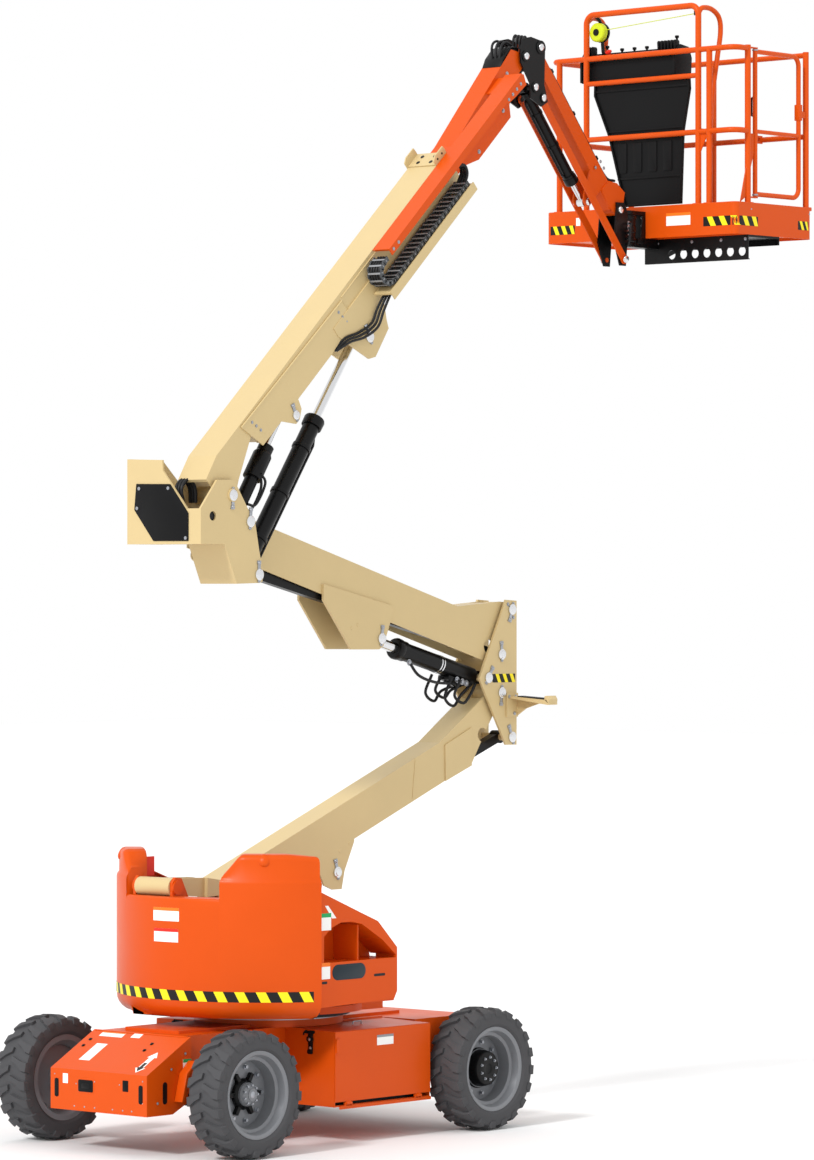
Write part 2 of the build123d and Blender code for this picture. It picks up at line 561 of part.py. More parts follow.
# ================================================================ main boom
def boom_slab(points, y0, y1):
    return slab([boom(s, t) for s, t in points], y0, y1)


def main_boom():
    y0, y1 = BOOM_Y - BOOM_HALF, BOOM_Y + BOOM_HALF
    out = [(-75, 188), (80, BOOM_T1), (BOOM_END, BOOM_T1), (BOOM_END, BOOM_T0), (430, BOOM_T0), (377, 126), (122, 8),
           (55, -30), (-30, -40), (-62, 30)]
    body = boom_slab(out, y0, y1)
    inn = [(-120, 120), (-60, 180), (84, BOOM_T1 - WALL), (BOOM_END + 20, BOOM_T1 - WALL), (BOOM_END + 20, BOOM_T0 + WALL),
           (440, BOOM_T0 + WALL), (385, 118), (150, -60), (-120, -60)]
    body -= boom_slab(inn, y0 + WALL, y1 - WALL)
    body += pin(A_PIN, BOOM_Y - U2_HALF + PLATE + SIDE_GAP, BOOM_Y + U2_HALF - PLATE - SIDE_GAP, BOSS_R + 6)
    # wear pads at the mouth and the end plate with its lugs
    for y in (y0 + WALL, BOOM_Y + FLY_HALF + SLIDE_FIT):
        body += boom_slab([(BOOM_END - 90, 60), (BOOM_END - 90, 180), (BOOM_END - 10, 180), (BOOM_END - 10, 60)], y,
                          y + BOOM_HALF - WALL - FLY_HALF - SLIDE_FIT)
    body += boom_slab([(BOOM_END - 90, FLY_T1 + SLIDE_FIT), (BOOM_END - 10, FLY_T1 + SLIDE_FIT), (BOOM_END - 10, 226),
                       (BOOM_END - 90, 226)], BOOM_Y - 60, BOOM_Y + 60)
    body += boom_slab([(BOOM_END - 90, FLY_T0 - SLIDE_FIT), (BOOM_END - 10, FLY_T0 - SLIDE_FIT), (BOOM_END - 10, 18),
                       (BOOM_END - 90, 18)], BOOM_Y - 60, BOOM_Y + 60)
    # long cover plate on the near side and its level-cylinder bracket
    cover = [(334, 214), (1467, 190), (1467, 40), (1189, 20), (800, 20), (783, -40), (730, -74), (690, -74), (606, 20), (400, 20)]
    body += boom_slab(cover, y0 - 8, y0)
    body += boom_slab([(606, 26), (606, 16), (690, -74), (730, -74), (783, -40), (800, 26)], y1, y1 + 8)
    body += stubs(LVL_B, y0 - 8, y1 + 8, BOOM_Y, 30, PIN_R - 6)
    # opening in the underside above the levelling rod
    body -= boom_slab([(425, -10), (900, -10), (900, 60), (425, 60)], BOOM_Y - 45, BOOM_Y + 45)
    # lift-cylinder bracket
    lug = [(1300, 60), (1325, 0), (1413, -209), (1463, -237), (1663, -190), (1682, -145), (1745, -38), (1800, 60), (1800, 120),
           (1300, 120)]
    body += boom_slab(lug, y0 - 12, y0) + boom_slab(lug, y1, y1 + 12)
    body += stubs(LIFT_B, y0 - 12, y1 + 12, BOOM_Y, 40, PIN_R)
    # tray for the cable chain
    body += boom_slab([(1700, 40.7), (1700, 30), (2705, 30), (2705, 40.7)], y0 - 145, y0)
    body += boom_slab([(1700, 50), (1700, -6), (2705, -6), (2705, 50)], y0 - 150, y0 - 144)
    body -= bore(A_PIN, -300, 100, PIN_R + 4 + PIN_FIT)
    return body


def cable_chain():
    """Chain loop lying in the tray with its bend at the lower end."""
    y0, y1 = BOOM_Y - BOOM_HALF - 128, BOOM_Y - BOOM_HALF - 22
    c = (1790.0, 125.0)
    r_out, r_in = 84.0, 50.0
    pts, back = [], []
    for i in range(13):
        a = math.radians(90 + 180 * i / 12)
        pts.append((c[0] + r_out * math.cos(a), c[1] + r_out * math.sin(a)))
        back.append((c[0] + r_in * math.cos(a), c[1] + r_in * math.sin(a)))
    outer = [(1840, c[1] + r_out)] + pts + [(2690, c[1] - r_out)]
    inner = [(2690, c[1] - r_in)] + back[::-1] + [(1840, c[1] + r_in)]
    return boom_slab(outer + inner, y0, y1)


def fly_boom():
    y0, y1 = BOOM_Y - FLY_HALF, BOOM_Y + FLY_HALF
    body = boom_slab([(FLY_START, FLY_T0), (FLY_START, FLY_T1), (3000, FLY_T1), (3000, FLY_T0)], y0, y1)
    body -= boom_slab([(FLY_START - 5, FLY_T0 + 7), (FLY_START - 5, FLY_T1 - 7), (2990, FLY_T1 - 7), (2990, FLY_T0 + 7)], y0 + 7, y1 - 7)
    nose = [(2880, 193), (3690, 283), (3735, 228), (3790, 182), (3750, 140), (3600, 128), (3449, 47), (3408, -14),
            (3006, -14), (2880, 42)]
    hollow = [(2860, 186), (3684, 275), (3700, 225), (3700, 150), (3596, 136), (3442, 55), (3400, -6), (3010, -6), (2860, 49)]
    body += boom_slab(nose, y0, y1) - boom_slab(hollow, y0 + 7, y1 - 7)
    # the tail is open below, clear of the levelling rod
    body -= boom_slab([(FLY_START - 5, 30), (780, 30), (780, 95), (FLY_START - 5, 95)], y0 - 5, y1 + 5)
    # rear wear pads, sliding inside the main boom
    for y in (BOOM_Y - BOOM_HALF + WALL + SLIDE_FIT, BOOM_Y + FLY_HALF):
        body += boom_slab([(FLY_START + 10, 100), (FLY_START + 10, 180), (FLY_START + 90, 180), (FLY_START + 90, 100)], y,
                          y + BOOM_HALF - WALL - FLY_HALF - SLIDE_FIT)
    body += pin(J1, y0, y1, 44)
    body += headed(J1, BOOM_Y - 98, BOOM_Y + 98, JPIN_R)
    return body


def fly_cap():
    """Cap over the top end of the fly's head."""
    cap = [(3590, 280), (3690, 291), (3712, 282), (3748, 238), (3740, 230), (3690, 283), (3590, 272)]
    return boom_slab(cap, BOOM_Y - FLY_HALF + 2, BOOM_Y + FLY_HALF - 2)


def fly_rail():
    """Channel bolted to the fly head; it carries the moving end of the chain."""
    y0, y1 = BOOM_Y - BOOM_HALF - 140, BOOM_Y - BOOM_HALF - 10
    body = boom_slab([(1868, 236), (3487, 236), (3510, 222), (3488, 160), (3361, 168), (3274, 182), (3274, 190), (1868, 190)], y0, y0 + 6)
    body += boom_slab([(1868, 236), (3500, 236), (3500, 230), (1868, 230)], y0, y1)
    body += boom_slab([(3330, 230), (3480, 230), (3480, 222), (3330, 222)], y1 - 30, BOOM_Y - FLY_HALF)
    body += boom_slab([(1880, 230), (1880, 214), (1930, 214), (1930, 230)], y0 + 6, y1)
    return body


# ================================================================ jib
def jib_knuckle():
    near, far = BOOM_Y - 96, BOOM_Y + 96
    plate = [(2000, 6400), (2030, 6468), (2100, 6482), (2215, 6462), (2232, 6400), (2225, 6200), (2258, 6100), (2200, 6066),
             (2095, 6110), (2092, 6200), (2005, 6320)]
    body = slab(plate, near, near + 10) + slab(plate, far - 10, far) + pin((2110, 6290), near, far, 14)
    for p in (J2, J3):
        body += headed(p, near, far, JPIN_R)
    body += stubs(J4, near, far, BOOM_Y, 69.5, JPIN_R)
    body -= bore(J1, -300, 100, JPIN_R + PIN_FIT)
    return body


def jib_arm():
    d = math.hypot(*JIB)
    ux, uz = JIB[0] / d, JIB[1] / d
    at = lambda k, o: (J3[0] + ux * k - uz * o, J3[1] + uz * k + ux * o)
    body = slab([at(-30, 40), at(1185, 40), at(1190, -60), at(150, -47), at(-10, -30)], BOOM_Y - 46, BOOM_Y + 46)
    body -= slab([at(-60, 33), at(1300, 33), at(1300, -53), at(150, -40), at(-60, -18)], BOOM_Y - 39, BOOM_Y + 39)
    plate = [at(1040, 40), at(1100, 95), at(1190, 118), at(1235, 60), at(1275, 0), at(1240, -40), at(1150, -60), at(1040, -50)]
    body += slab(plate, BOOM_Y - 54, BOOM_Y - 46) + slab(plate, BOOM_Y + 46, BOOM_Y + 54)
    lug = [at(880, -40), at(960, -190), at(990, -228), at(1030, -228), at(1050, -205), at(1044, -160), at(1040, -40)]
    body += slab(lug, BOOM_Y - 46, BOOM_Y - 36) + slab(lug, BOOM_Y + 36, BOOM_Y + 46)
    body += stubs(JC_PIN, BOOM_Y - 46, BOOM_Y + 46, BOOM_Y, 24, JPIN_R)
    body += pin(J3, BOOM_Y - 84, BOOM_Y + 84, 31) + pin(K3, BOOM_Y - 58, BOOM_Y + 58, 34)
    return body - bore(J3, -300, 100, JPIN_R + PIN_FIT) - bore(K3, -300, 100, JPIN_R + PIN_FIT)


def jib_link(side):
    """Levelling bar on one side, with the short pin that turns in the platform pivot's plate."""
    y = lambda a: BOOM_Y + side * a
    body = bar_link(J4, K4, min(y(73), y(81)), max(y(73), y(81)), 27, 30, JPIN_R + PIN_FIT)
    return body + pin(K4, y(58), y(89), JPIN_R) + pin(K4, y(81), y(89), JPIN_R * 1.45) + pin(K4, y(73), y(81), JPIN_R + 1)


def platform_pivot():
    plate = [(2955, 5530), (3035, 5530), (3062, 5470), (3062, 5300), (3045, 5140), (2985, 5140), (2930, 5290)]
    body = slab(plate, BOOM_Y - 68, BOOM_Y - 60) + slab(plate, BOOM_Y + 60, BOOM_Y + 68)
    body += block(3046, 3062, BOOM_Y - 68, BOOM_Y + 68, 5290, 5460)
    body += ring(ROT_R, 0, 5290, 5460, ROT_X, BOOM_Y) + block(3050, ROT_X, BOOM_Y - 50, BOOM_Y + 50, 5300, 5450)
    body += headed(K3, BOOM_Y - 68, BOOM_Y + 68, JPIN_R)
    body -= ring(22 + PIN_FIT, 0, 5200, 5600, ROT_X, BOOM_Y)
    return body - bore(K4, -300, 100, JPIN_R + PIN_FIT)


# ================================================================ platform
def platform_support():
    body = rod((ROT_X, BOOM_Y, 5262), (ROT_X, BOOM_Y, 5488), 22)
    body += ring(60, 0, 5262, 5286, ROT_X, BOOM_Y) + ring(60, 0, 5464, 5488, ROT_X, BOOM_Y)
    body += slab([(ROT_X, 5286), (ROT_X, 5262), (3390, 5262), (3390, 5322), (3250, 5322), (3200, 5286)], BOOM_Y - 50, BOOM_Y + 50)
    body += slab([(ROT_X, 5488), (3261, 5488), (3261, 5464), (ROT_X, 5464)], BOOM_Y - 50, BOOM_Y + 50)
    body += slab([(3243, 5488), (3261, 5488), (3261, 5322), (3243, 5322)], BOOM_Y - 50, BOOM_Y + 50)
    y0, y1 = -870, BOOM_Y + 60
    plate = block(3390, 3398, y0, y1, 5170, PF_Z0)
    for i in range(7):
        plate -= rod((3385, -822 + i * 92, 5222), (3405, -822 + i * 92, 5222), 29)
    body += plate + block(3390, 3708, y0, y1, 5308, PF_Z0) + block(3700, 3708, y0, y1, 5270, PF_Z0)
    for y in (BOOM_Y - 50, BOOM_Y + 50):
        body += slab([(3390, 5180), (3390, 5322), (3708, 5322), (3708, 5300)], y - 4, y + 4)
    return body


def rounded_rect(x0, x1, y0, y1, r, z0, z1):
    body = block(x0, x1, y0, y1, z0, z1)
    return fillet(body.edges().filter_by(Axis.Z), r)


def platform_deck():
    y0, y1 = BOOM_Y - PF_HALF, BOOM_Y + PF_HALF
    body = rounded_rect(PF_X0, PF_X1, y0, y1, 40, PF_Z0, PF_Z1)
    body -= rounded_rect(PF_X0 + 5, PF_X1 - 5, y0 + 5, y1 - 5, 35, PF_Z0 + 24, PF_Z1 + 10)
    body -= rounded_rect(PF_X0 + 5, PF_X1 - 5, y0 + 5, y1 - 5, 35, PF_Z0 - 5, PF_Z0 + 18)
    body += block(PF_X0 + 120, PF_X1 - 120, BOOM_Y - 100, BOOM_Y + 60, PF_Z0, PF_Z0 + 20)
    body += block(3390, 3708, y0 + 4, BOOM_Y + 60, PF_Z0, PF_Z0 + 20)
    return body


def platform_rails():
    y0, y1 = BOOM_Y - PF_HALF + 29, BOOM_Y + PF_HALF - 29
    x0, x1 = PF_X0 + 29, PF_X1 - 29
    body = None
    runs = [
        [(x0, -560, PF_Z1 - 60), (x0, -560, HOOP_Z), (x0, 335, HOOP_Z), (x0, 335, PF_Z1 - 60)],
        [(POST_X, y0, RAIL_Z), (x0, y0, RAIL_Z), (x0, y1, RAIL_Z), (x1, y1, RAIL_Z), (x1, y0, RAIL_Z)],
        [(POST_X, y0, MID_Z), (x0, y0, MID_Z), (x0, y1, MID_Z), (x1, y1, MID_Z), (x1, y0, MID_Z)],
    ]
    for run, r in zip(runs, (TUBE_R, TUBE_R - 1.5, TUBE_R - 1.5)):
        tube = bent_tube(run, r, 60)
        body = tube if body is None else body + tube
    for x, y in ((x0, y1 - 60), (x1, y1 - 60), (x1, BOOM_Y), (x0, y0 + 200)):
        body += rod((x, y, PF_Z1 - 60), (x, y, RAIL_Z + 4), TUBE_R)
    for x in (POST_X, x1):
        body += rod((x, y0, PF_Z1 - 60), (x, y0, RAIL_Z + 20), TUBE_R)
    # console bearers
    body += rod((x0, -556, BEARER_Z), (x0, 331, BEARER_Z), 16)
    # hinge lugs of the gate, and the keeper of its latch
    for z0, z1, tip in ((GATE_Z1 + 17, GATE_Z1 + 25, -30), (GATE_Z0 - 25, GATE_Z0 - 17, 30)):
        body += block(POST_X, GATE_X0 + 14, y0 - 12, y0 + 12, z0, z1)
        z = (z0 + z1) / 2
        body += rod((GATE_X0, y0, z), (GATE_X0, y0, z + tip), 8)
    body += block(GATE_X1 + 20, x1, y0 - 10, y0 + 10, 6080, 6120)
    # lanyard anchors
    for y in (-500, 420):
        body += block(x1 - 60, x1, y - 6, y + 6, MID_Z - 25, MID_Z + 25) - rod((x1 - 40, y - 10, MID_Z), (x1 - 40, y + 10, MID_Z), 14)
    return body


def gate():
    """Swing gate; its hinge tube turns on the two lug pins of the post."""
    y0 = BOOM_Y - PF_HALF + 29
    body = bent_tube([(GATE_X0, y0, GATE_Z1), (GATE_X1, y0, GATE_Z1), (GATE_X1, y0, GATE_Z0), (GATE_X0, y0, GATE_Z0)], 15, 60)
    body += rod((GATE_X0, y0, GATE_Z0 - 15), (GATE_X0, y0, GATE_Z1 + 15), 15)
    body += rod((GATE_X0, y0, MID_Z), (GATE_X1, y0, MID_Z), 13)
    return body - rod((GATE_X0, y0, GATE_Z0 - 30), (GATE_X0, y0, GATE_Z1 + 30), 8 + PIN_FIT)


def console():
    """Platform control box with the panel that hangs below it."""
    x0, z0 = PF_X0 + 60, BEARER_Z + 14
    x1 = x0 + CONSOLE_DEEP
    prof = [(x0, z0), (x0, z0 + 135), (x0 + 40, z0 + 170), (x1 - 20, z0 + 160), (x1, z0 + 110), (x1 - 6, z0)]
    body = slab(prof, CONSOLE_Y0, CONSOLE_Y1)
    body -= slab([(x0 + 6, z0 + 6), (x0 + 6, z0 + 131), (x0 + 42, z0 + 163), (x1 - 24, z0 + 153), (x1 - 7, z0 + 108), (x1 - 12, z0 + 6)],
                 CONSOLE_Y0 + 6, CONSOLE_Y1 - 6)
    panel = [(283, z0 + 6), (-475, z0 + 6), (-481, z0 - 90), (-430, z0 - 350), (-412, z0 - 800), (40, z0 - 800),
             (170, z0 - 350), (286, z0 - 90)]
    for y in (CONSOLE_Y0 + 45, CONSOLE_Y1 - 120):
        body += rod((PF_X0 + 45.3, y, BEARER_Z + 4), (x1 - 20, y, BEARER_Z + 4), 14)
    return body + across(panel, x0 - 9, x0 - 1) + block(x0 - 9, x0 + 8, CONSOLE_Y0 + 10, 280, z0, z0 + 15)


def build_nodes():
    """Name to solid for every node of the part."""
    n = {}
    n["chassis_frame"] = chassis_frame()
    n["front_cover"] = front_cover()
    n["steer_axle"] = steer_axle()
    n["drive_axle"] = drive_axle()
    n["slew_ring"] = slew_ring()
    for s, side in ((-1, "right"), (1, "left")):
        n[f"battery_box_{side}"] = battery_box(s)
        n[f"battery_door_{side}"] = battery_door(s)
        n[f"battery_pack_{side}"] = battery_pack(s)
        n[f"knuckle_{side}"] = knuckle(s)
        n[f"steer_tyre_{side}"] = tyre(-AXLE_X, s)
        n[f"steer_rim_{side}"] = steer_rim(s)
        n[f"drive_tyre_{side}"] = tyre(AXLE_X, s)
        n[f"drive_rim_{side}"] = drive_rim(s)
        n[f"cowl_{side}"] = cowl(s)
    n["tie_rod"] = tie_rod()
    n["turntable_frame"] = turntable_frame()
    n["counterweight"] = counterweight()
    n["lower_boom"] = lower_boom()
    n["lower_link"] = lower_link()
    n["upright_1"] = upright_1()
    n["mid_boom"] = mid_boom()
    n["mid_link"] = mid_link()
    n["upright_2"] = upright_2()
    n["tail_cover"] = tail_cover()
    for name, sizes in CYLINDERS.items():
        n[name + "_barrel"], n[name + "_rod"] = cylinder_pair(*sizes)
    n["main_boom"] = main_boom()
    n["cable_chain"] = cable_chain()
    n["fly_boom"] = fly_boom()
    n["fly_cap"] = fly_cap()
    n["fly_rail"] = fly_rail()
    n["jib_knuckle"] = jib_knuckle()
    n["jib_arm"] = jib_arm()
    n["jib_link_near"] = jib_link(-1)
    n["jib_link_far"] = jib_link(1)
    n["platform_pivot"] = platform_pivot()
    n["platform_support"] = platform_support()
    n["platform_deck"] = platform_deck()
    n["platform_rails"] = platform_rails()
    n["console"] = console()
    n["gate"] = gate()
    return n


def main():
    os.makedirs("parts", exist_ok=True)
    nodes = build_nodes()
    low, high = [1e9] * 3, [-1e9] * 3
    for name, body in nodes.items():
        moved = Pos(SLEW_X, 0, 0) * body
        export_step(moved, f"parts/{name}.step")
        b = moved.bounding_box()
        low = [min(low[i], (b.min.X, b.min.Y, b.min.Z)[i]) for i in range(3)]
        high = [max(high[i], (b.max.X, b.max.Y, b.max.Z)[i]) for i in range(3)]
        print(f"{name:26s} vol {moved.volume/1e6:9.3f} dm3  solids {len(moved.solids())}  "
              f"[{b.min.X:.0f} {b.min.Y:.0f} {b.min.Z:.0f}] [{b.max.X:.0f} {b.max.Y:.0f} {b.max.Z:.0f}]")
    print("box", [round(v, 1) for v in low], [round(v, 1) for v in high])


if __name__ == "__main__":
    main()
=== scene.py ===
"""Articulating boom lift, dressed: paint, rubber, fasteners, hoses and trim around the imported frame."""
from __future__ import annotations

import json
import logging
import math
from dataclasses import dataclass, field
from enum import Enum
from typing import Callable, Iterable, Sequence

import bmesh
import bpy
from mathutils import Matrix, Vector

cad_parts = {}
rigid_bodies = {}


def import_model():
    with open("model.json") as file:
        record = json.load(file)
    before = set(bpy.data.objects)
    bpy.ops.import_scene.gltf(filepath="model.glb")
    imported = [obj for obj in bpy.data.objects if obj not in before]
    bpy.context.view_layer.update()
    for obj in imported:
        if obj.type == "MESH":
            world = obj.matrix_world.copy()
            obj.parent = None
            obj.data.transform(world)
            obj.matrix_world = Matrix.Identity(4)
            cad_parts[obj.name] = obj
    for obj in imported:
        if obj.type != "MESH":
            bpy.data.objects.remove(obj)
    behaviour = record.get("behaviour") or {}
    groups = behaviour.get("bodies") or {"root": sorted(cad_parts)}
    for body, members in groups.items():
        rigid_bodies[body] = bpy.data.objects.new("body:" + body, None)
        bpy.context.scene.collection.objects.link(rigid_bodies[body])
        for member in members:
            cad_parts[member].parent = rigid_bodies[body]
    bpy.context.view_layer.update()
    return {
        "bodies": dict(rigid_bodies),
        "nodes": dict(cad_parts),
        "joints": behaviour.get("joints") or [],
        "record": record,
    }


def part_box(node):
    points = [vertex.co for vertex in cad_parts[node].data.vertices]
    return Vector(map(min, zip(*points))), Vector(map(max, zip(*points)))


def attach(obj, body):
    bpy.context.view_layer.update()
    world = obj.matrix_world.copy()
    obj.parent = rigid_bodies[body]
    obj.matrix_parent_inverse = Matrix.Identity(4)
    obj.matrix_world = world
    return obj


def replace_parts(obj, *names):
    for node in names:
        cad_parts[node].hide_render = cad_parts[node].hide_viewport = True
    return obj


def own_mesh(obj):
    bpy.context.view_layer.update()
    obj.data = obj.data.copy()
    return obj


LOG = logging.getLogger("boom_lift")
MM = 0.001
COAT_ROUGHNESS = 0.12
BEVEL_STEPS = 2
BEVEL_FROM_DEG = 40.0
WELD_DISTANCE = 1e-6

Outline = Sequence[tuple[float, float]]


# ---------------------------------------------------------------- colour and nodes
def linear(code: str) -> tuple[float, float, float, float]:
    """Turn an sRGB hex colour to linear light.

    Args:
        code: six hex digits, with or without a leading '#'.

    Returns:
        Red, green, blue and an alpha of one.
    """
    digits = code.lstrip("#")
    parts = [int(digits[i:i + 2], 16) / 255 for i in (0, 2, 4)]
    red, green, blue = (p / 12.92 if p <= 0.04045 else ((p + 0.055) / 1.055) ** 2.4 for p in parts)
    return red, green, blue, 1.0


def add_node(tree: bpy.types.NodeTree, kind: str, links: dict | None = None, **settings) -> bpy.types.Node:
    """Add one shader node with its settings and links.

    Args:
        tree: the material's node tree.
        kind: Blender's name of the node type.
        links: input name or index to an output socket, or to a plain value.
        settings: attributes of the node.

    Returns:
        The new node.
    """
    node = tree.nodes.new(kind)
    for key, value in settings.items():
        setattr(node, key, value)
    for key, value in (links or {}).items():
        socket = node.inputs[key]
        if isinstance(value, bpy.types.NodeSocket):
            tree.links.new(value, socket)
        else:
            socket.default_value = value
    return node


# ---------------------------------------------------------------- finishes
@dataclass(frozen=True)
class Finish:
    """A surface: what it is made of, and how that was made.

    grain_mm is the size of the fine relief, soil_mm the size of the soft colour drift.
    """

    name: str
    hex_colour: str
    roughness: float
    metallic: float = 0.0
    coat: float = 0.0
    grain_mm: float = 1.0
    grain_depth_mm: float = 0.02
    drift: float = 0.06
    drift_mm: float = 220.0
    sheen: float = 0.28

    def material(self) -> bpy.types.Material:
        """Build the material, or return the one built before."""
        found = bpy.data.materials.get(self.name)
        if found:
            return found
        made = bpy.data.materials.new(self.name)
        made.use_nodes = True
        tree = made.node_tree
        shader = tree.nodes["Principled BSDF"]
        shader.inputs["Metallic"].default_value = self.metallic
        shader.inputs["Coat Weight"].default_value = self.coat
        shader.inputs["Coat Roughness"].default_value = COAT_ROUGHNESS
        shader.inputs["Specular IOR Level"].default_value = self.sheen
        place = add_node(tree, "ShaderNodeTexCoord").outputs["Object"]
        self.colour(tree, shader, place)
        self.relief(tree, shader, place)
        made.diffuse_color = linear(self.hex_colour)
        return made

    def colour(self, tree: bpy.types.NodeTree, shader: bpy.types.Node, place: bpy.types.NodeSocket) -> None:
        """Soft drift of tone over the surface, and a little more gloss where it is worn."""
        cloud = add_node(tree, "ShaderNodeTexNoise", {"Vector": place, "Scale": 1.0 / (self.drift_mm * MM),
                                                      "Detail": 4.0, "Roughness": 0.6})
        base = linear(self.hex_colour)
        dark = tuple(c * (1.0 - self.drift) for c in base[:3]) + (1.0,)
        light = tuple(min(1.0, c * (1.0 + self.drift * 0.5)) for c in base[:3]) + (1.0,)
        ramp = add_node(tree, "ShaderNodeMix", {0: cloud.outputs["Fac"], 6: dark, 7: light}, data_type="RGBA")
        tree.links.new(ramp.outputs[2], shader.inputs["Base Color"])
        rough = add_node(tree, "ShaderNodeMapRange", {"Value": cloud.outputs["Fac"], "From Min": 0.3, "From Max": 0.7,
                                                      "To Min": self.roughness * 0.88, "To Max": self.roughness * 1.12})
        tree.links.new(rough.outputs["Result"], shader.inputs["Roughness"])

    def relief(self, tree: bpy.types.NodeTree, shader: bpy.types.Node, place: bpy.types.NodeSocket) -> None:
        """Fine relief of the surface: orange peel of paint, grain of a mould."""
        grain = add_node(tree, "ShaderNodeTexNoise", {"Vector": place, "Scale": 1.0 / (self.grain_mm * MM * 8),
                                                      "Detail": 3.0})
        bump = add_node(tree, "ShaderNodeBump", {"Height": grain.outputs["Fac"], "Strength": 0.35,
                                                 "Distance": self.grain_depth_mm * MM * 8})
        tree.links.new(bump.outputs["Normal"], shader.inputs["Normal"])


# Powder coat on welded steel plate: even, a little orange peel, soft gloss.
ORANGE = Finish("orange_powder_coat", "#D24E08", 0.36, coat=0.02, sheen=0.16, grain_mm=1.2, grain_depth_mm=0.02,
                drift=0.05)
# Cream powder coat, flatter than the orange and warm in the shade.
CREAM = Finish("cream_powder_coat", "#CDB685", 0.42, coat=0.03, grain_mm=1.2, grain_depth_mm=0.02, drift=0.05)
# Black chassis enamel sprayed on cylinders, links and the pivot.
ENAMEL = Finish("black_enamel", "#09090A", 0.36, coat=0.02, sheen=0.2, grain_mm=1.0, drift=0.15)
# Rotationally moulded polyethylene of the control box: matte, lightly pebbled.
POLYETHYLENE = Finish("black_polyethylene", "#0B0B0C", 0.5, sheen=0.15, grain_mm=2.0, grain_depth_mm=0.06, drift=0.12)
# Hard chrome on the cylinder rods: mirror-bright with fine turning marks.
CHROME = Finish("hard_chrome", "#D9DADC", 0.14, metallic=1.0, grain_mm=0.6, drift=0.03)
# Zinc-plated pins, bolts and washers: dull bright steel.
ZINC = Finish("zinc_plate", "#A9ACB2", 0.36, metallic=1.0, grain_mm=0.8, drift=0.1)
# Tyre rubber: dark, matte, with a faint bloom.
RUBBER = Finish("tyre_rubber", "#121213", 0.75, sheen=0.12, grain_mm=2.5, grain_depth_mm=0.12, drift=0.18,
                drift_mm=90.0)
# Grey enamel of the pressed wheel discs.
DISC = Finish("grey_wheel_enamel", "#7C7E82", 0.38, metallic=0.15, coat=0.05, drift=0.07)
# Glass-filled nylon of the cable chain.
NYLON = Finish("grey_nylon", "#4A4D50", 0.5, grain_mm=1.5, grain_depth_mm=0.05, drift=0.12)
# Synthetic rubber of the hydraulic hoses.
HOSE = Finish("hose_rubber", "#18181A", 0.5, grain_mm=1.2, grain_depth_mm=0.08, drift=0.1)
# Printed vinyl of the signs.
VINYL = Finish("white_vinyl", "#F1F1EE", 0.4, grain_mm=1.0, grain_depth_mm=0.0, drift=0.02)
SIGN_RED = Finish("red_vinyl", "#D92A1C", 0.4, grain_depth_mm=0.0, drift=0.02)
SIGN_GREEN = Finish("green_vinyl", "#1FA05A", 0.4, grain_depth_mm=0.0, drift=0.02)
SIGN_YELLOW = Finish("yellow_vinyl", "#F6E21B", 0.4, grain_depth_mm=0.0, drift=0.02)
SIGN_BLACK = Finish("black_vinyl", "#121212", 0.42, grain_depth_mm=0.0, drift=0.02)
SIGN_NAVY = Finish("navy_vinyl", "#16262F", 0.3, grain_depth_mm=0.0, drift=0.05)
SIGN_ORANGE = Finish("orange_vinyl", "#F0761C", 0.4, grain_depth_mm=0.0, drift=0.02)
SIGN_GREY = Finish("grey_vinyl", "#8E9093", 0.4, grain_depth_mm=0.0, drift=0.02)
# Ground and polished pins: brighter than the plated bolts.
PIN_STEEL = Finish("bright_pin_steel", "#DDDEE0", 0.22, metallic=1.0, grain_mm=0.6, drift=0.05)
LIME = Finish("lime_plastic", "#C8D61E", 0.45, drift=0.05)

SLOT_FINISH = {
    "orange_paint": ORANGE, "cream_paint": CREAM, "black_paint": ENAMEL, "black_plastic": POLYETHYLENE,
    "chrome_rod": CHROME, "zinc": ZINC, "tyre_rubber": RUBBER, "rim_grey": DISC, "grey_plastic": NYLON,
}


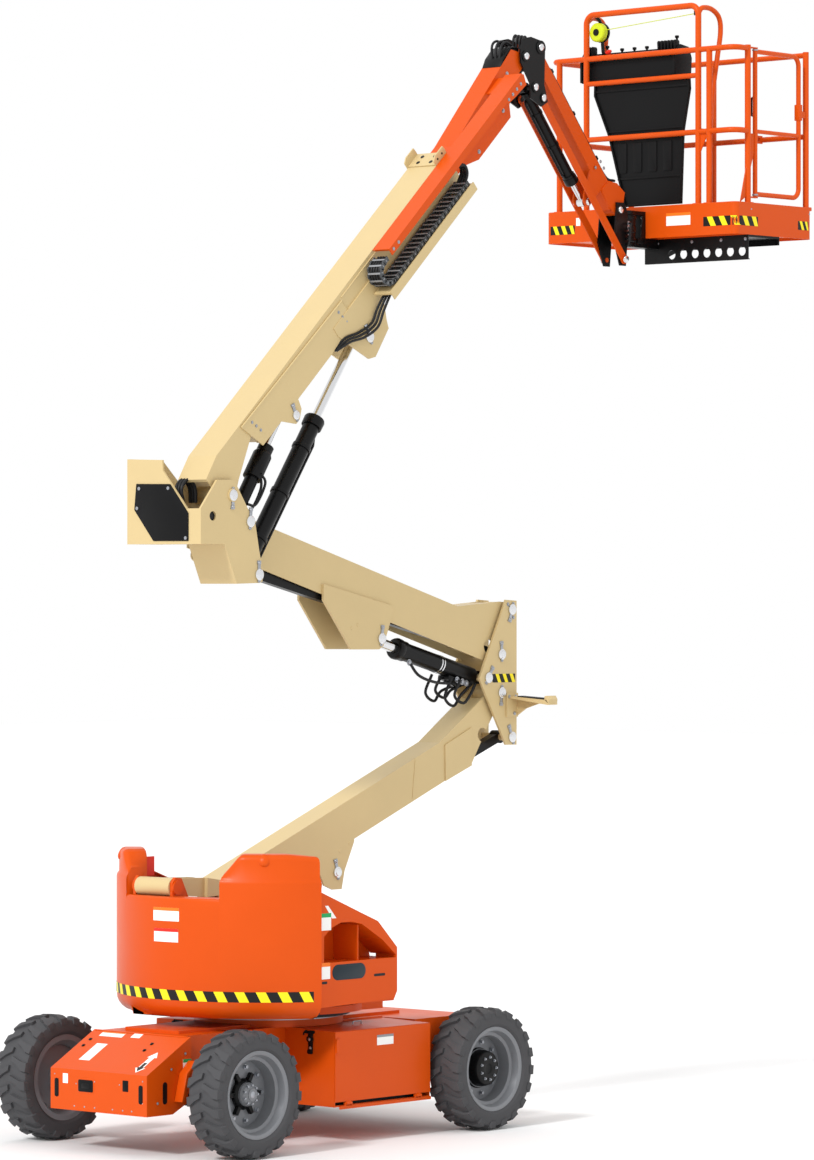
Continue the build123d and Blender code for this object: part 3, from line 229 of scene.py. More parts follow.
# ---------------------------------------------------------------- mesh making
@dataclass
class Shape:
    """One piece while its mesh is being made, in metres in the shared frame."""

    name: str
    finish: Finish
    verts: list[Vector] = field(default_factory=list)
    faces: list[list[int]] = field(default_factory=list)

    def add(self, verts: Iterable[Vector], faces: Iterable[Sequence[int]]) -> "Shape":
        """Join more vertices and faces to the piece."""
        start = len(self.verts)
        self.verts.extend(Vector(v) for v in verts)
        self.faces.extend([start + i for i in f] for f in faces)
        return self

    def prism(self, outline: Sequence[Vector], depth: Vector) -> "Shape":
        """Close a flat outline and push it along depth."""
        n = len(outline)
        base = [Vector(p) for p in outline]
        top = [p + depth for p in base]
        sides = [(i, (i + 1) % n, n + (i + 1) % n, n + i) for i in range(n)]
        return self.add(base + top, [tuple(reversed(range(n))), tuple(range(n, 2 * n))] + sides)

    def block(self, low: Sequence[float], high: Sequence[float]) -> "Shape":
        """Box between two corners."""
        (x0, y0, z0), (x1, y1, z1) = low, high
        return self.prism([Vector((x0, y0, z0)), Vector((x1, y0, z0)), Vector((x1, y1, z0)), Vector((x0, y1, z0))],
                          Vector((0, 0, z1 - z0)))

    def lathe(self, profile: Outline, centre: Sequence[float], axis: Sequence[float], turns: int = 40) -> "Shape":
        """Turn (along, radius) points about an axis through centre.

        Args:
            profile: closed round of points, in metres.
            centre: a point on the axis, where along is zero.
            axis: direction of the axis.
            turns: number of flats round.

        Returns:
            The shape itself.
        """
        frame = turned_frame(Vector(axis))
        count = len(profile)
        verts = []
        for k in range(turns):
            a = 2 * math.pi * k / turns
            out = frame.col[0] * math.cos(a) + frame.col[1] * math.sin(a)
            verts += [Vector(centre) + frame.col[2] * along + out * radius for along, radius in profile]
        faces = []
        for k in range(turns):
            here, there = k * count, ((k + 1) % turns) * count
            for i in range(count - 1):
                faces.append((here + i, here + i + 1, there + i + 1, there + i))
        return self.add(verts, faces)

    def turned(self, profile_mm: Outline, centre: Sequence[float], axis: Sequence[float], turns: int = 40) -> "Shape":
        """Turn a profile given in millimetres."""
        return self.lathe([(along * MM, radius * MM) for along, radius in profile_mm], centre, axis, turns)

    def disc(self, centre: Sequence[float], axis: Sequence[float], radius: float, thick: float,
             bevel: float = 0.0, turns: int = 28) -> "Shape":
        """Round plate standing on centre, with a bevelled rim."""
        cut = min(bevel, thick * 0.9, radius * 0.9)
        return self.lathe([(0, 0), (0, radius), (thick - cut, radius), (thick, radius - cut), (thick, 0)], centre,
                          axis, turns)

    def tube(self, path: Sequence[Vector], radius: float, sides: int = 12) -> "Shape":
        """Round tube along a list of points."""
        points = [Vector(p) for p in path]
        rings = []
        up = None
        for i, p in enumerate(points):
            ahead = points[min(i + 1, len(points) - 1)] - points[max(i - 1, 0)]
            ahead.normalize()
            if up is None:
                up = ahead.orthogonal().normalized()
            up = (up - ahead * up.dot(ahead)).normalized()
            side = ahead.cross(up)
            rings.append([p + (up * math.cos(2 * math.pi * k / sides) + side * math.sin(2 * math.pi * k / sides)) * radius
                          for k in range(sides)])
        faces = []
        for i in range(len(points) - 1):
            for k in range(sides):
                m = (k + 1) % sides
                faces.append((i * sides + k, i * sides + m, (i + 1) * sides + m, (i + 1) * sides + k))
        faces += [tuple(reversed(range(sides))), tuple((len(points) - 1) * sides + k for k in range(sides))]
        return self.add([v for r in rings for v in r], faces)

    def hexagon(self, centre: Sequence[float], axis: Sequence[float], radius: float, high: float) -> "Shape":
        """Hexagon head standing on centre, over a thin washer."""
        self.disc(centre, axis, radius * 1.35, high * 0.25, turns=18)
        frame = turned_frame(Vector(axis))
        foot = Vector(centre) + frame.col[2] * high * 0.25
        ring = [foot + (frame.col[0] * math.cos(math.pi * k / 3) + frame.col[1] * math.sin(math.pi * k / 3)) * radius
                for k in range(6)]
        return self.prism(ring, frame.col[2] * high)

    def stone(self, points: Sequence[Sequence[float]], face: "Face", low: float = 0.0, high: float = 1.0) -> "Shape":
        """Flat plate on a face: its outline in millimetres along and up, its underside and top in millimetres out."""
        base = [face(u, v, low) for u, v in points]
        return self.prism(base, face(*points[0], high) - base[0])

    def strip(self, quad: Sequence[Sequence[float]], face: "Face", low: float, high: float, steps: int = 1) -> "Shape":
        """Four-cornered plate that follows a curved face, cut along into steps."""
        (a, b, c, d) = quad
        rows = []
        for k in range(steps + 1):
            t = k / steps
            foot = (a[0] + (b[0] - a[0]) * t, a[1] + (b[1] - a[1]) * t)
            head = (d[0] + (c[0] - d[0]) * t, d[1] + (c[1] - d[1]) * t)
            rows.append([face(*foot, low), face(*foot, high), face(*head, high), face(*head, low)])
        faces = [(4 * k + i, 4 * k + (i + 1) % 4, 4 * k + 4 + (i + 1) % 4,
                  4 * k + 4 + i) for k in range(steps) for i in range(4)]
        return self.add([v for row in rows for v in row],
                        faces + [(0, 1, 2, 3), tuple(4 * steps + i for i in (3, 2, 1, 0))])

    def bolt(self, centre: Sequence[float], axis: Sequence[float], radius: float) -> "Shape":
        """Domed bolt head on its washer."""
        r = radius
        return self.lathe([(0, 0), (0, 1.5 * r), (0.2 * r, 1.5 * r), (0.2 * r, r), (0.6 * r, 0.92 * r),
                           (0.9 * r, 0.6 * r), (r, 0)],
                          centre, axis, 14)

    def done(self, body: str, bevel_mm: float = 0.0, smooth_deg: float = 32.0) -> bpy.types.Object:
        """Make the object, dress it and let it ride on a body.

        Args:
            body: the body it moves with.
            bevel_mm: width of the rounded edges, or zero for none.
            smooth_deg: edges flatter than this are shaded smooth.

        Returns:
            The finished object.
        """
        mesh = bpy.data.meshes.new(self.name)
        mesh.from_pydata([tuple(v) for v in self.verts], [], self.faces)
        work = bmesh.new()
        work.from_mesh(mesh)
        bmesh.ops.remove_doubles(work, verts=work.verts, dist=WELD_DISTANCE)
        bmesh.ops.recalc_face_normals(work, faces=work.faces)
        work.to_mesh(mesh)
        work.free()
        made = bpy.data.objects.new(self.name, mesh)
        bpy.context.scene.collection.objects.link(made)
        if bevel_mm:
            edge = made.modifiers.new("edges", "BEVEL")
            edge.width = bevel_mm * MM
            edge.segments = BEVEL_STEPS
            edge.limit_method = "ANGLE"
            edge.angle_limit = math.radians(BEVEL_FROM_DEG)
            bpy.context.view_layer.update()
            rounded = bpy.data.meshes.new_from_object(made.evaluated_get(bpy.context.evaluated_depsgraph_get()))
            made.modifiers.clear()
            made.data = rounded
            mesh = rounded
        for face in mesh.polygons:
            face.use_smooth = True
        mesh.set_sharp_from_angle(angle=math.radians(smooth_deg))
        mesh.materials.clear()
        mesh.materials.append(self.finish.material())
        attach(made, body)
        LOG.info("%s rides on %s: %d faces", self.name, body, len(mesh.polygons))
        return made


def turned_frame(axis: Vector) -> Matrix:
    """Right-handed frame whose third column is the axis."""
    third = axis.normalized()
    first = third.orthogonal().normalized()
    return Matrix((first, third.cross(first), third)).transposed()


def rounded_path(points: Sequence[Vector], radius: float, steps: int = 7) -> list[Vector]:
    """Straight runs with each inner corner turned by an arc.

    Args:
        points: the corners, first to last.
        radius: of the arcs, cut down where a run is short.
        steps: points on each arc.

    Returns:
        Points along the rounded path.
    """
    pts = [Vector(p) for p in points]
    out = [pts[0]]
    for before, here, after in zip(pts, pts[1:], pts[2:]):
        a, b = (before - here), (after - here)
        half = a.angle(b) / 2
        cut = min(radius / math.tan(half), a.length * 0.49, b.length * 0.49)
        first, last = here + a.normalized() * cut, here + b.normalized() * cut
        for k in range(steps + 1):
            t = k / steps
            out.append(first * (1 - t) ** 2 + here * 2 * t * (1 - t) + last * t ** 2)
    return out + [pts[-1]]


def flowing(points: Sequence[Vector], samples: int = 12) -> list[Vector]:
    """Smooth curve through points, for hoses: Catmull-Rom, evenly parted."""
    pts = [Vector(p) for p in points]
    pts = [pts[0] * 2 - pts[1]] + pts + [pts[-1] * 2 - pts[-2]]
    out = []
    for p0, p1, p2, p3 in zip(pts, pts[1:], pts[2:], pts[3:]):
        for k in range(samples):
            t = k / samples
            out.append(0.5 * ((2 * p1) + (p2 - p0) * t + (2 * p0 - 5 * p1 + 4 * p2 - p3) * t * t
                              + (3 * p1 - p0 - 3 * p2 + p3) * t ** 3))
    return out + [pts[-2]]


# ---------------------------------------------------------------- places read from the frame
@dataclass
class Places:
    """Pins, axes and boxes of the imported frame, and the booms' own measures."""

    frame: dict

    def __post_init__(self) -> None:
        self.joints = {j["name"]: j for j in self.frame["joints"]}
        self.reach = Vector(self.joints["fly_extend"]["axis"]).normalized()
        self.rise = Vector((-self.reach.z, 0, self.reach.x))
        self.heel = self.pin("main_lift")

    def pin(self, joint: str) -> Vector:
        """Centre of a joint's pin."""
        return Vector(self.joints[joint]["pos_m"])

    def at(self, x: float, y: float, z: float) -> Vector:
        """Point in millimetres from the slewing axis on the floor."""
        return Vector((self.pin("slew").x + x * MM, y * MM, z * MM))

    def boom(self, along: float, above: float, y: float) -> Vector:
        """Point of the main boom: millimetres along and above its line, metres across."""
        spot = self.heel + self.reach * along * MM + self.rise * above * MM
        return Vector((spot.x, y, spot.z))

    @staticmethod
    def low(node: str) -> Vector:
        """Lowest corner of a node's box."""
        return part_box(node)[0]

    @staticmethod
    def high(node: str) -> Vector:
        """Highest corner of a node's box."""
        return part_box(node)[1]


class Side(Enum):
    """The two sides of the machine, with the sign of Y."""

    RIGHT = -1
    LEFT = 1

    @property
    def word(self) -> str:
        """Name used in the nodes."""
        return self.name.lower()


# ---------------------------------------------------------------- wheels
@dataclass
class Wheel:
    """Foam-filled lug tyre on a deep pressed disc.

    Sizes are in millimetres, from the wheel's centre.
    """

    places: Places
    kind: str
    side: Side
    lugs: int = 20
    lug_high: float = 17.0
    bolts: int = 9

    def __post_init__(self) -> None:
        self.body = f"{self.kind}_wheel_{self.side.word}"
        self.centre = self.places.pin(f"{self.body}_spin")
        low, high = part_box(f"{self.kind}_tyre_{self.side.word}")
        self.radius = (high.z - low.z) / 2 / MM
        self.width = (high.y - low.y) / MM
        self.out = Vector((0, self.side.value, 0))

    def build(self) -> None:
        """Make the tyre and the wheel's fasteners."""
        self.tyre()
        self.hub()

    def tyre(self) -> None:
        """Carcass turned from its section, with two rows of chunky lugs that wrap the shoulder."""
        half, top = self.width / 2, self.radius - self.lug_high
        section = [(-half + 22, 243), (-half + 6, 262), (-half + 3, 300), (-half + 10, top - 12), (-half + 34, top),
                   (half - 34, top), (half - 10, top - 12), (half - 3, 300), (half - 6, 262), (half - 14, 250),
                   (half - 22, 243)]
        shape = Shape(f"{self.body}_tyre", RUBBER)
        shape.turned(section + section[:1], self.centre, self.out, 96)
        for k in range(self.lugs):
            for hand in (-1, 1):
                self.lug(shape, (k + (0.5 if hand > 0 else 0.0)) / self.lugs, hand)
        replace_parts(shape.done(self.body, bevel_mm=0, smooth_deg=28), f"{self.kind}_tyre_{self.side.word}")

    def lug(self, shape: Shape, turn: float, hand: int) -> None:
        """One lug: a bent bar from the middle of the tread, over the shoulder and down the wall."""
        half, top = self.width / 2, self.radius - self.lug_high
        pitch = 2 * math.pi / self.lugs
        # across (mm from the middle), floor radius, top radius, lead round the tyre, share of the pitch
        spine = [(6, top - 2, self.radius, -0.16, 0.30), (52, top - 2, self.radius - 1, 0.02, 0.36),
                 (half - 32, top - 2, self.radius - 3, 0.20, 0.52), (half - 8, top - 14, self.radius - 14, 0.24, 0.56),
                 (half - 1, 302, 318, 0.26, 0.44)]
        rows = []
        for across, floor, crown, lead, share in spine:
            row = []
            for edge in (-0.5, 0.5):
                for radius, widen in ((floor, 1.0), (crown, 0.86)):
                    angle = 2 * math.pi * turn + pitch * (lead + edge * share * widen)
                    push = across if radius == floor else min(across + (4 if across > half - 20 else 0), half)
                    row.append(self.at(hand * push, radius, angle))
            rows.append(row)
        faces = []
        verts = [v for row in rows for v in row]
        for i in range(len(rows) - 1):
            a, b = 4 * i, 4 * i + 4
            faces += [(a, a + 1, b + 1, b), (a + 1, a + 3, b + 3, b + 1), (a + 3, a + 2, b + 2, b + 3),
                      (a + 2, a, b, b + 2)]
        end = 4 * (len(rows) - 1)
        faces += [(0, 2, 3, 1), (end, end + 1, end + 3, end + 2)]
        shape.add(verts, faces)

    def at(self, across: float, radius: float, angle: float) -> Vector:
        """Point of the wheel from its own cylinder coordinates."""
        return self.centre + self.out * across * MM + Vector((math.cos(angle), 0, math.sin(angle))) * radius * MM

    def hub(self) -> None:
        """Studs, hub ribs and the cap of the steer wheels, or the drum face of the drive wheels."""
        studs = Shape(f"{self.body}_nuts", ZINC)
        hub = Shape(f"{self.body}_hub", ENAMEL)
        if self.kind == "steer":
            hub.turned(((-20, 30), (-20, 84), (-6, 88), (6, 80), (20, 62), (40, 58), (46, 50), (46, 30)),
                      self.centre, self.out, 40)
            for k in range(6):
                a = 2 * math.pi * k / 6
                spoke = [self.at(-22, 60, a - 0.22), self.at(-22, 128, a - 0.09), self.at(-22, 128, a + 0.09),
                         self.at(-22, 60, a + 0.22)]
                hub.prism(spoke, self.out * 26 * MM)
            studs.turned(((44, 0.5), (44, 30), (58, 28), (64, 18), (66, 0.5)), self.centre, self.out, 32)
            ring, start = 52.0, 46.0
        else:
            hub.turned(((-30, 60), (-30, 118), (-18, 118), (-12, 108), (30, 104), (52, 96), (60, 82), (60, 30),
                        (54, 26), (54, 1)),
                      self.centre, self.out, 48)
            ring, start = 66.0, 60.0
        for k in range(self.bolts):
            a = 2 * math.pi * k / self.bolts
            studs.hexagon(self.at(start, ring, a), self.out, 6 * MM, 8 * MM)
            studs.hexagon(self.at(-22, 150, a), self.out, 10 * MM, 14 * MM)
        hub.done(self.body, bevel_mm=2)
        studs.done(self.body)


# ---------------------------------------------------------------- faces that signs and plates lie on
Face = Callable[[float, float, float], Vector]


def flat_face(corner: Vector, along: Sequence[float], upward: Sequence[float]) -> Face:
    """Plane face: millimetres along, up and out from a corner.

    Args:
        corner: the point that counts as zero, in metres.
        along: direction of reading, seen from outside.
        upward: direction of up on the face.

    Returns:
        A function from millimetres to a point.
    """
    a, u = Vector(along).normalized(), Vector(upward).normalized()
    out = a.cross(u)
    return lambda along_mm, up_mm, out_mm: corner + (a * along_mm + u * up_mm + out * out_mm) * MM


def drum_face(axis: Vector, radius_mm: float) -> Face:
    """Upright drum: millimetres round it from straight behind, millimetres of height, millimetres out."""
    def place(along_mm: float, up_mm: float, out_mm: float) -> Vector:
        turn, reach = along_mm / radius_mm, (radius_mm + out_mm) * MM
        return Vector((axis.x - reach * math.cos(turn), axis.y - reach * math.sin(turn), up_mm * MM))
    return place


def rounded_box(wide: float, high: float, radius: float, u: float = 0.0, v: float = 0.0) -> list[tuple[float, float]]:
    """Outline of a rectangle with round corners, its lower left corner at u, v."""
    r = min(radius, wide / 2, high / 2)
    out = []
    for cx, cy, start in ((wide - r, high - r, 0), (r, high - r, 90), (r, r, 180), (wide - r, r, 270)):
        out += [(u + cx + r * math.cos(math.radians(start + 15 * k)),
                 v + cy + r * math.sin(math.radians(start + 15 * k)))
                for k in range(7)]
    return out


def sign(name: str, body: str, face: Face, spot: tuple[float, float], size: tuple[float, float],
         header: Finish | None = None, steps: int = 1) -> None:
    """Blank vinyl sign, with a coloured band at its head."""
    (u, v), (wide, high) = spot, size
    Shape(name, VINYL).strip([(u, v), (u + wide, v), (u + wide, v + high), (u, v + high)], face, 0.0, 0.8,
                             steps).done(body)
    if header:
        foot = v + high * 0.76
        Shape(name + "_head", header).strip([(u, foot), (u + wide, foot), (u + wide, v + high), (u, v + high)],
                                            face, 0.7, 1.2, steps).done(body)


def hazard(name: str, body: str, face: Face, span: tuple[float, float], rise: tuple[float, float], pitch: float,
           lean: float, steps: int = 1) -> None:
    """Band of slanting stripes: a black strip with yellow stripes laid on it."""
    (start, end), (low, high) = span, rise
    count = max(1, round((end - start) / pitch))
    Shape(name, SIGN_BLACK).strip([(start, low), (end, low), (end, high), (start, high)], face, 0.0, 0.8,
                                  steps * count).done(body)
    stripes = Shape(name + "_stripes", SIGN_YELLOW)
    for k in range(count):
        a = start + (end - start) * (k + 0.3) / count
        b = a + (end - start) * 0.46 / count
        quad = [(min(end, a + lean), low), (min(end, b + lean), low), (min(end, b), high), (min(end, a), high)]
        if quad[1][0] - quad[0][0] > 4:
            stripes.strip(quad, face, 0.7, 1.3, steps)
    stripes.done(body)


@dataclass
class PinEnds:
    """Bright pin heads, each held by a small keeper plate with its bolt."""

    name: str
    body: str
    radius: float = 33.0
    arm: float = 66.0

    def __post_init__(self) -> None:
        self.pins = Shape(self.name, PIN_STEEL)
        self.keepers = Shape(self.name + "_keepers", ZINC)

    def add(self, centre: Vector, side: int, turn_deg: float) -> "PinEnds":
        """One pin head on the face that looks to side, its keeper pointing turn_deg up from +X."""
        out = Vector((0, side, 0))
        r = self.radius
        self.pins.turned(((-1, r), (10, r), (13, r - 4), (13.5, r * 0.7), (16, r * 0.62), (16.5, 0.3)),
                        centre, out, 28)
        way = Vector((math.cos(math.radians(turn_deg)), 0, math.sin(math.radians(turn_deg))))
        across = way.cross(out)
        a, b = centre - way * (r + 10) * MM, centre + way * self.arm * MM
        for p, q, w in ((a, b, 11), (b - way * 4 * MM, b + way * 14 * MM, 15)):
            self.keepers.prism([p - across * w * MM, q - across * w * MM, q + across * w * MM, p + across * w * MM],
                               out * 6 * MM)
        self.keepers.bolt(b + out * 6 * MM, out, 9 * MM)
        self.keepers.bolt(a + way * 3 * MM + out * 5 * MM, out, 5 * MM)
        return self

    def done(self) -> None:
        """Make both pieces."""
        self.pins.done(self.body)
        self.keepers.done(self.body, bevel_mm=1)


def hoses(name: str, body: str, runs: Sequence[Sequence[Vector]], radius_mm: float = 8.0,
          finish: Finish | None = None) -> bpy.types.Object:
    """Held hydraulic hoses, each a smooth line through its clips."""
    shape = Shape(name, finish or HOSE)
    for run in runs:
        shape.tube(flowing(run, 8), radius_mm * MM, 10)
    return shape.done(body)


# ---------------------------------------------------------------- chassis
@dataclass
class Chassis:
    """Trim of the wheeled base: sockets, slots, signs, latches and steering guards."""

    places: Places
    nose_x: float = -1385.0
    nose_z: float = 458.0
    slope_x: float = -1038.0
    deck_z: float = 650.0
    box_y: float = 706.5

    def build(self) -> None:
        """Dress the nose, its slope, the battery boxes and the deck."""
        self.nose()
        self.slope()
        self.boxes()
        self.deck()

    def nose(self) -> None:
        """Front plate: slots drawn as dark plates of painted shade, two dark sockets, a blank sign and the bolted lip.
        """
        at = self.places.at
        front = flat_face(at(self.nose_x, 0, 0), (0, -1, 0), (0, 0, 1))
        dark = Shape("nose_slots", POLYETHYLENE)
        rims = Shape("nose_slot_rims", ORANGE)
        # The slots are open holes; their dark plates are painted shade inside them.
        for u in (-330, 330):
            dark.stone(rounded_box(34, 106, 17, u - 17, 297), front, -1.5, 0.6)
        near = flat_face(at(0, -378, 0), (1, 0, 0), (0, 0, 1))
        far = flat_face(at(0, 378, 0), (-1, 0, 0), (0, 0, 1))
        # Side slots, also open: dark plates of painted shade.
        dark.stone(rounded_box(36, 124, 18, -1260, 290), near, -1, 0.8)
        dark.stone(rounded_box(36, 124, 18, 1224, 290), far, -1, 0.8)
        dark.stone(rounded_box(118, 68, 10, -158, 338), front, -1, 2)
        dark.stone(rounded_box(44, 62, 4, 190, 360), front, -1, 1.5)
        dark.done("chassis", bevel_mm=1)
        rims.stone(rounded_box(132, 82, 14, -165, 331), front, -1, 1.4)
        rims.done("chassis", bevel_mm=1)
        Shape("nose_socket_bezel", ENAMEL).stone(rounded_box(64, 30, 8, -132, 356), front, -1,
                                                 2.6).done("chassis", bevel_mm=2)
        sign("nose_sign", "chassis", front, (-280, 378), (40, 54))
        bolts = Shape("nose_bolts", ZINC)
        for u in (-190, -110, -30, 110, 190, 260):
            bolts.bolt(front(u, 254, -3), (-1, 0, 0), 5.5 * MM)
        for u, v in ((-345, 425), (345, 425), (-175, 380), (165, 395), (-30, 400)):
            bolts.bolt(front(u, v, -2), (-1, 0, 0), 4.5 * MM)
        for u, v in ((-1190, 480), (-1100, 420), (-1300, 300), (-1080, 560)):
            bolts.bolt(near(u, v, 0), (0, -1, 0), 6 * MM)
        bolts.done("chassis")
        sign("nose_side_sign", "chassis", near, (-1098, 452), (64, 78), SIGN_GREEN)

    def slope(self) -> None:
        """Sloping top plate: signs, the black and white arrow, bolts and the seam."""
        at = self.places.at
        rise = Vector((self.slope_x - self.nose_x, 0, self.deck_z - self.nose_z))
        top = flat_face(at(self.nose_x, 0, self.nose_z), (0, -1, 0), rise)
        sign("slope_sign_wide", "chassis", top, (-290, 336), (180, 44), SIGN_ORANGE)
        sign("slope_sign_small", "chassis", top, (-48, 344), (70, 40))
        sign("slope_plate", "chassis", top, (-240, 96), (84, 168))
        self.arrow(top)
        bolts = Shape("slope_bolts", ENAMEL)
        for u, v in ((160, 300), (158, 234), (-322, 296), (-322, 232)):
            bolts.bolt(top(u, v, 0), (-0.48, 0, 0.88), 8 * MM)
        bolts.done("chassis")
        step = Shape("slope_seam", ORANGE)
        step.stone([(-360, 384), (360, 384), (360, 394), (-360, 394)], top, 0, 3)
        step.done("chassis", bevel_mm=1)

    @staticmethod
    def arrow(top: Face) -> None:
        """Two-headed travel arrow, white ahead and black behind, on a white ground."""
        def head(u: float, v0: float, v1: float, v2: float, w: float, grow: float) -> list[tuple[float, float]]:
            return [(u - w - grow, v0), (u + w + grow, v0), (u + w + grow, v1), (u + 2.2 * w + grow, v1), (u, v2),
                    (u - 2.2 * w - grow, v1), (u - w - grow, v1)]
        Shape("arrow_ground", VINYL).stone(head(270, 118, 172, 226, 15, 4), top, 0, 0.8).done("chassis")
        Shape("arrow_rear", VINYL).stone(head(270, 120, 68, 22, 15, 5), top, 0, 0.8).done("chassis")
        Shape("arrow_dark", SIGN_BLACK).stone(head(270, 118, 74, 34, 12, 0), top, 0.7, 1.2).done("chassis")

    def boxes(self) -> None:
        """Battery boxes: latch straps, signs and the folded edge of the lids."""
        at = self.places.at
        latches, knobs, edges = Shape("battery_latches", POLYETHYLENE), Shape("battery_latch_bolts", ZINC), Shape("battery_lid_edges", ORANGE)
        for hand in (-1, 1):
            rear = flat_face(at(-203, hand * 520, 0), (0, -1, 0), (0, 0, 1))
            latches.stone(rounded_box(74, 16, 6, -44, 622), rear, 0, 9)
            latches.stone(rounded_box(34, 116, 12, -18, 516), rear, 0, 7)
            latches.stone(rounded_box(46, 34, 14, -22, 574), rear, 5, 16)
            latches.stone(rounded_box(40, 26, 10, -20, 506), rear, 5, 13)
            latches.tube([rear(-26, 640, 8), rear(-44, 626, 12), rear(-50, 612, 8)], 5 * MM, 8)
            for v in (590, 540):
                knobs.bolt(rear(1, v, 15 if v == 590 else 7), (-1, 0, 0), 7 * MM)
            edges.block(at(-210, hand * 318, 640), at(618, hand * 330, 660))
        latches.done("chassis", bevel_mm=2)
        knobs.done("chassis")
        edges.done("chassis", bevel_mm=2)
        near = flat_face(at(0, -self.box_y, 0), (1, 0, 0), (0, 0, 1))
        sign("battery_sign_right", "battery_door_right", near, (150, 542), (140, 58), SIGN_GREY)
        far = flat_face(at(0, self.box_y, 0), (-1, 0, 0), (0, 0, 1))
        sign("battery_sign_left", "battery_door_left", far, (-290, 542), (140, 58), SIGN_GREY)

    def deck(self) -> None:
        """Handles on the deck, the dark seal under the tail and the steering guards."""
        at = self.places.at
        grips = Shape("deck_grips", ZINC)
        for hand in (-1, 1):
            grips.tube(rounded_path([at(190, hand * 484, 640), at(190, hand * 484, 662), at(262, hand * 484, 662),
                                     at(262, hand * 484, 640)], 10 * MM), 4 * MM, 8)
        grips.done("chassis")
        seal = Shape("swing_seal", HOSE)
        seal.lathe([(r[0] * MM, r[1] * MM) for r in ((700, 436), (700, 470), (722, 470), (722, 436), (700, 436))],
                   at(0, 0, 0), (0, 0, 1), 64)
        seal.done("turntable")
        guards = Shape("steering_guards", ORANGE)
        for hand in (-1, 1):
            outline = [(-1170, 300), (-1130, 455), (-1060, 520), (-1040, 520), (-1040, 500), (-1085, 470),
                       (-1118, 430), (-1150, 300)]
            guards.prism([at(x, hand * 380, z) for x, z in outline], Vector((0, hand * 60 * MM, 0)))
        guards.done("chassis", bevel_mm=2)


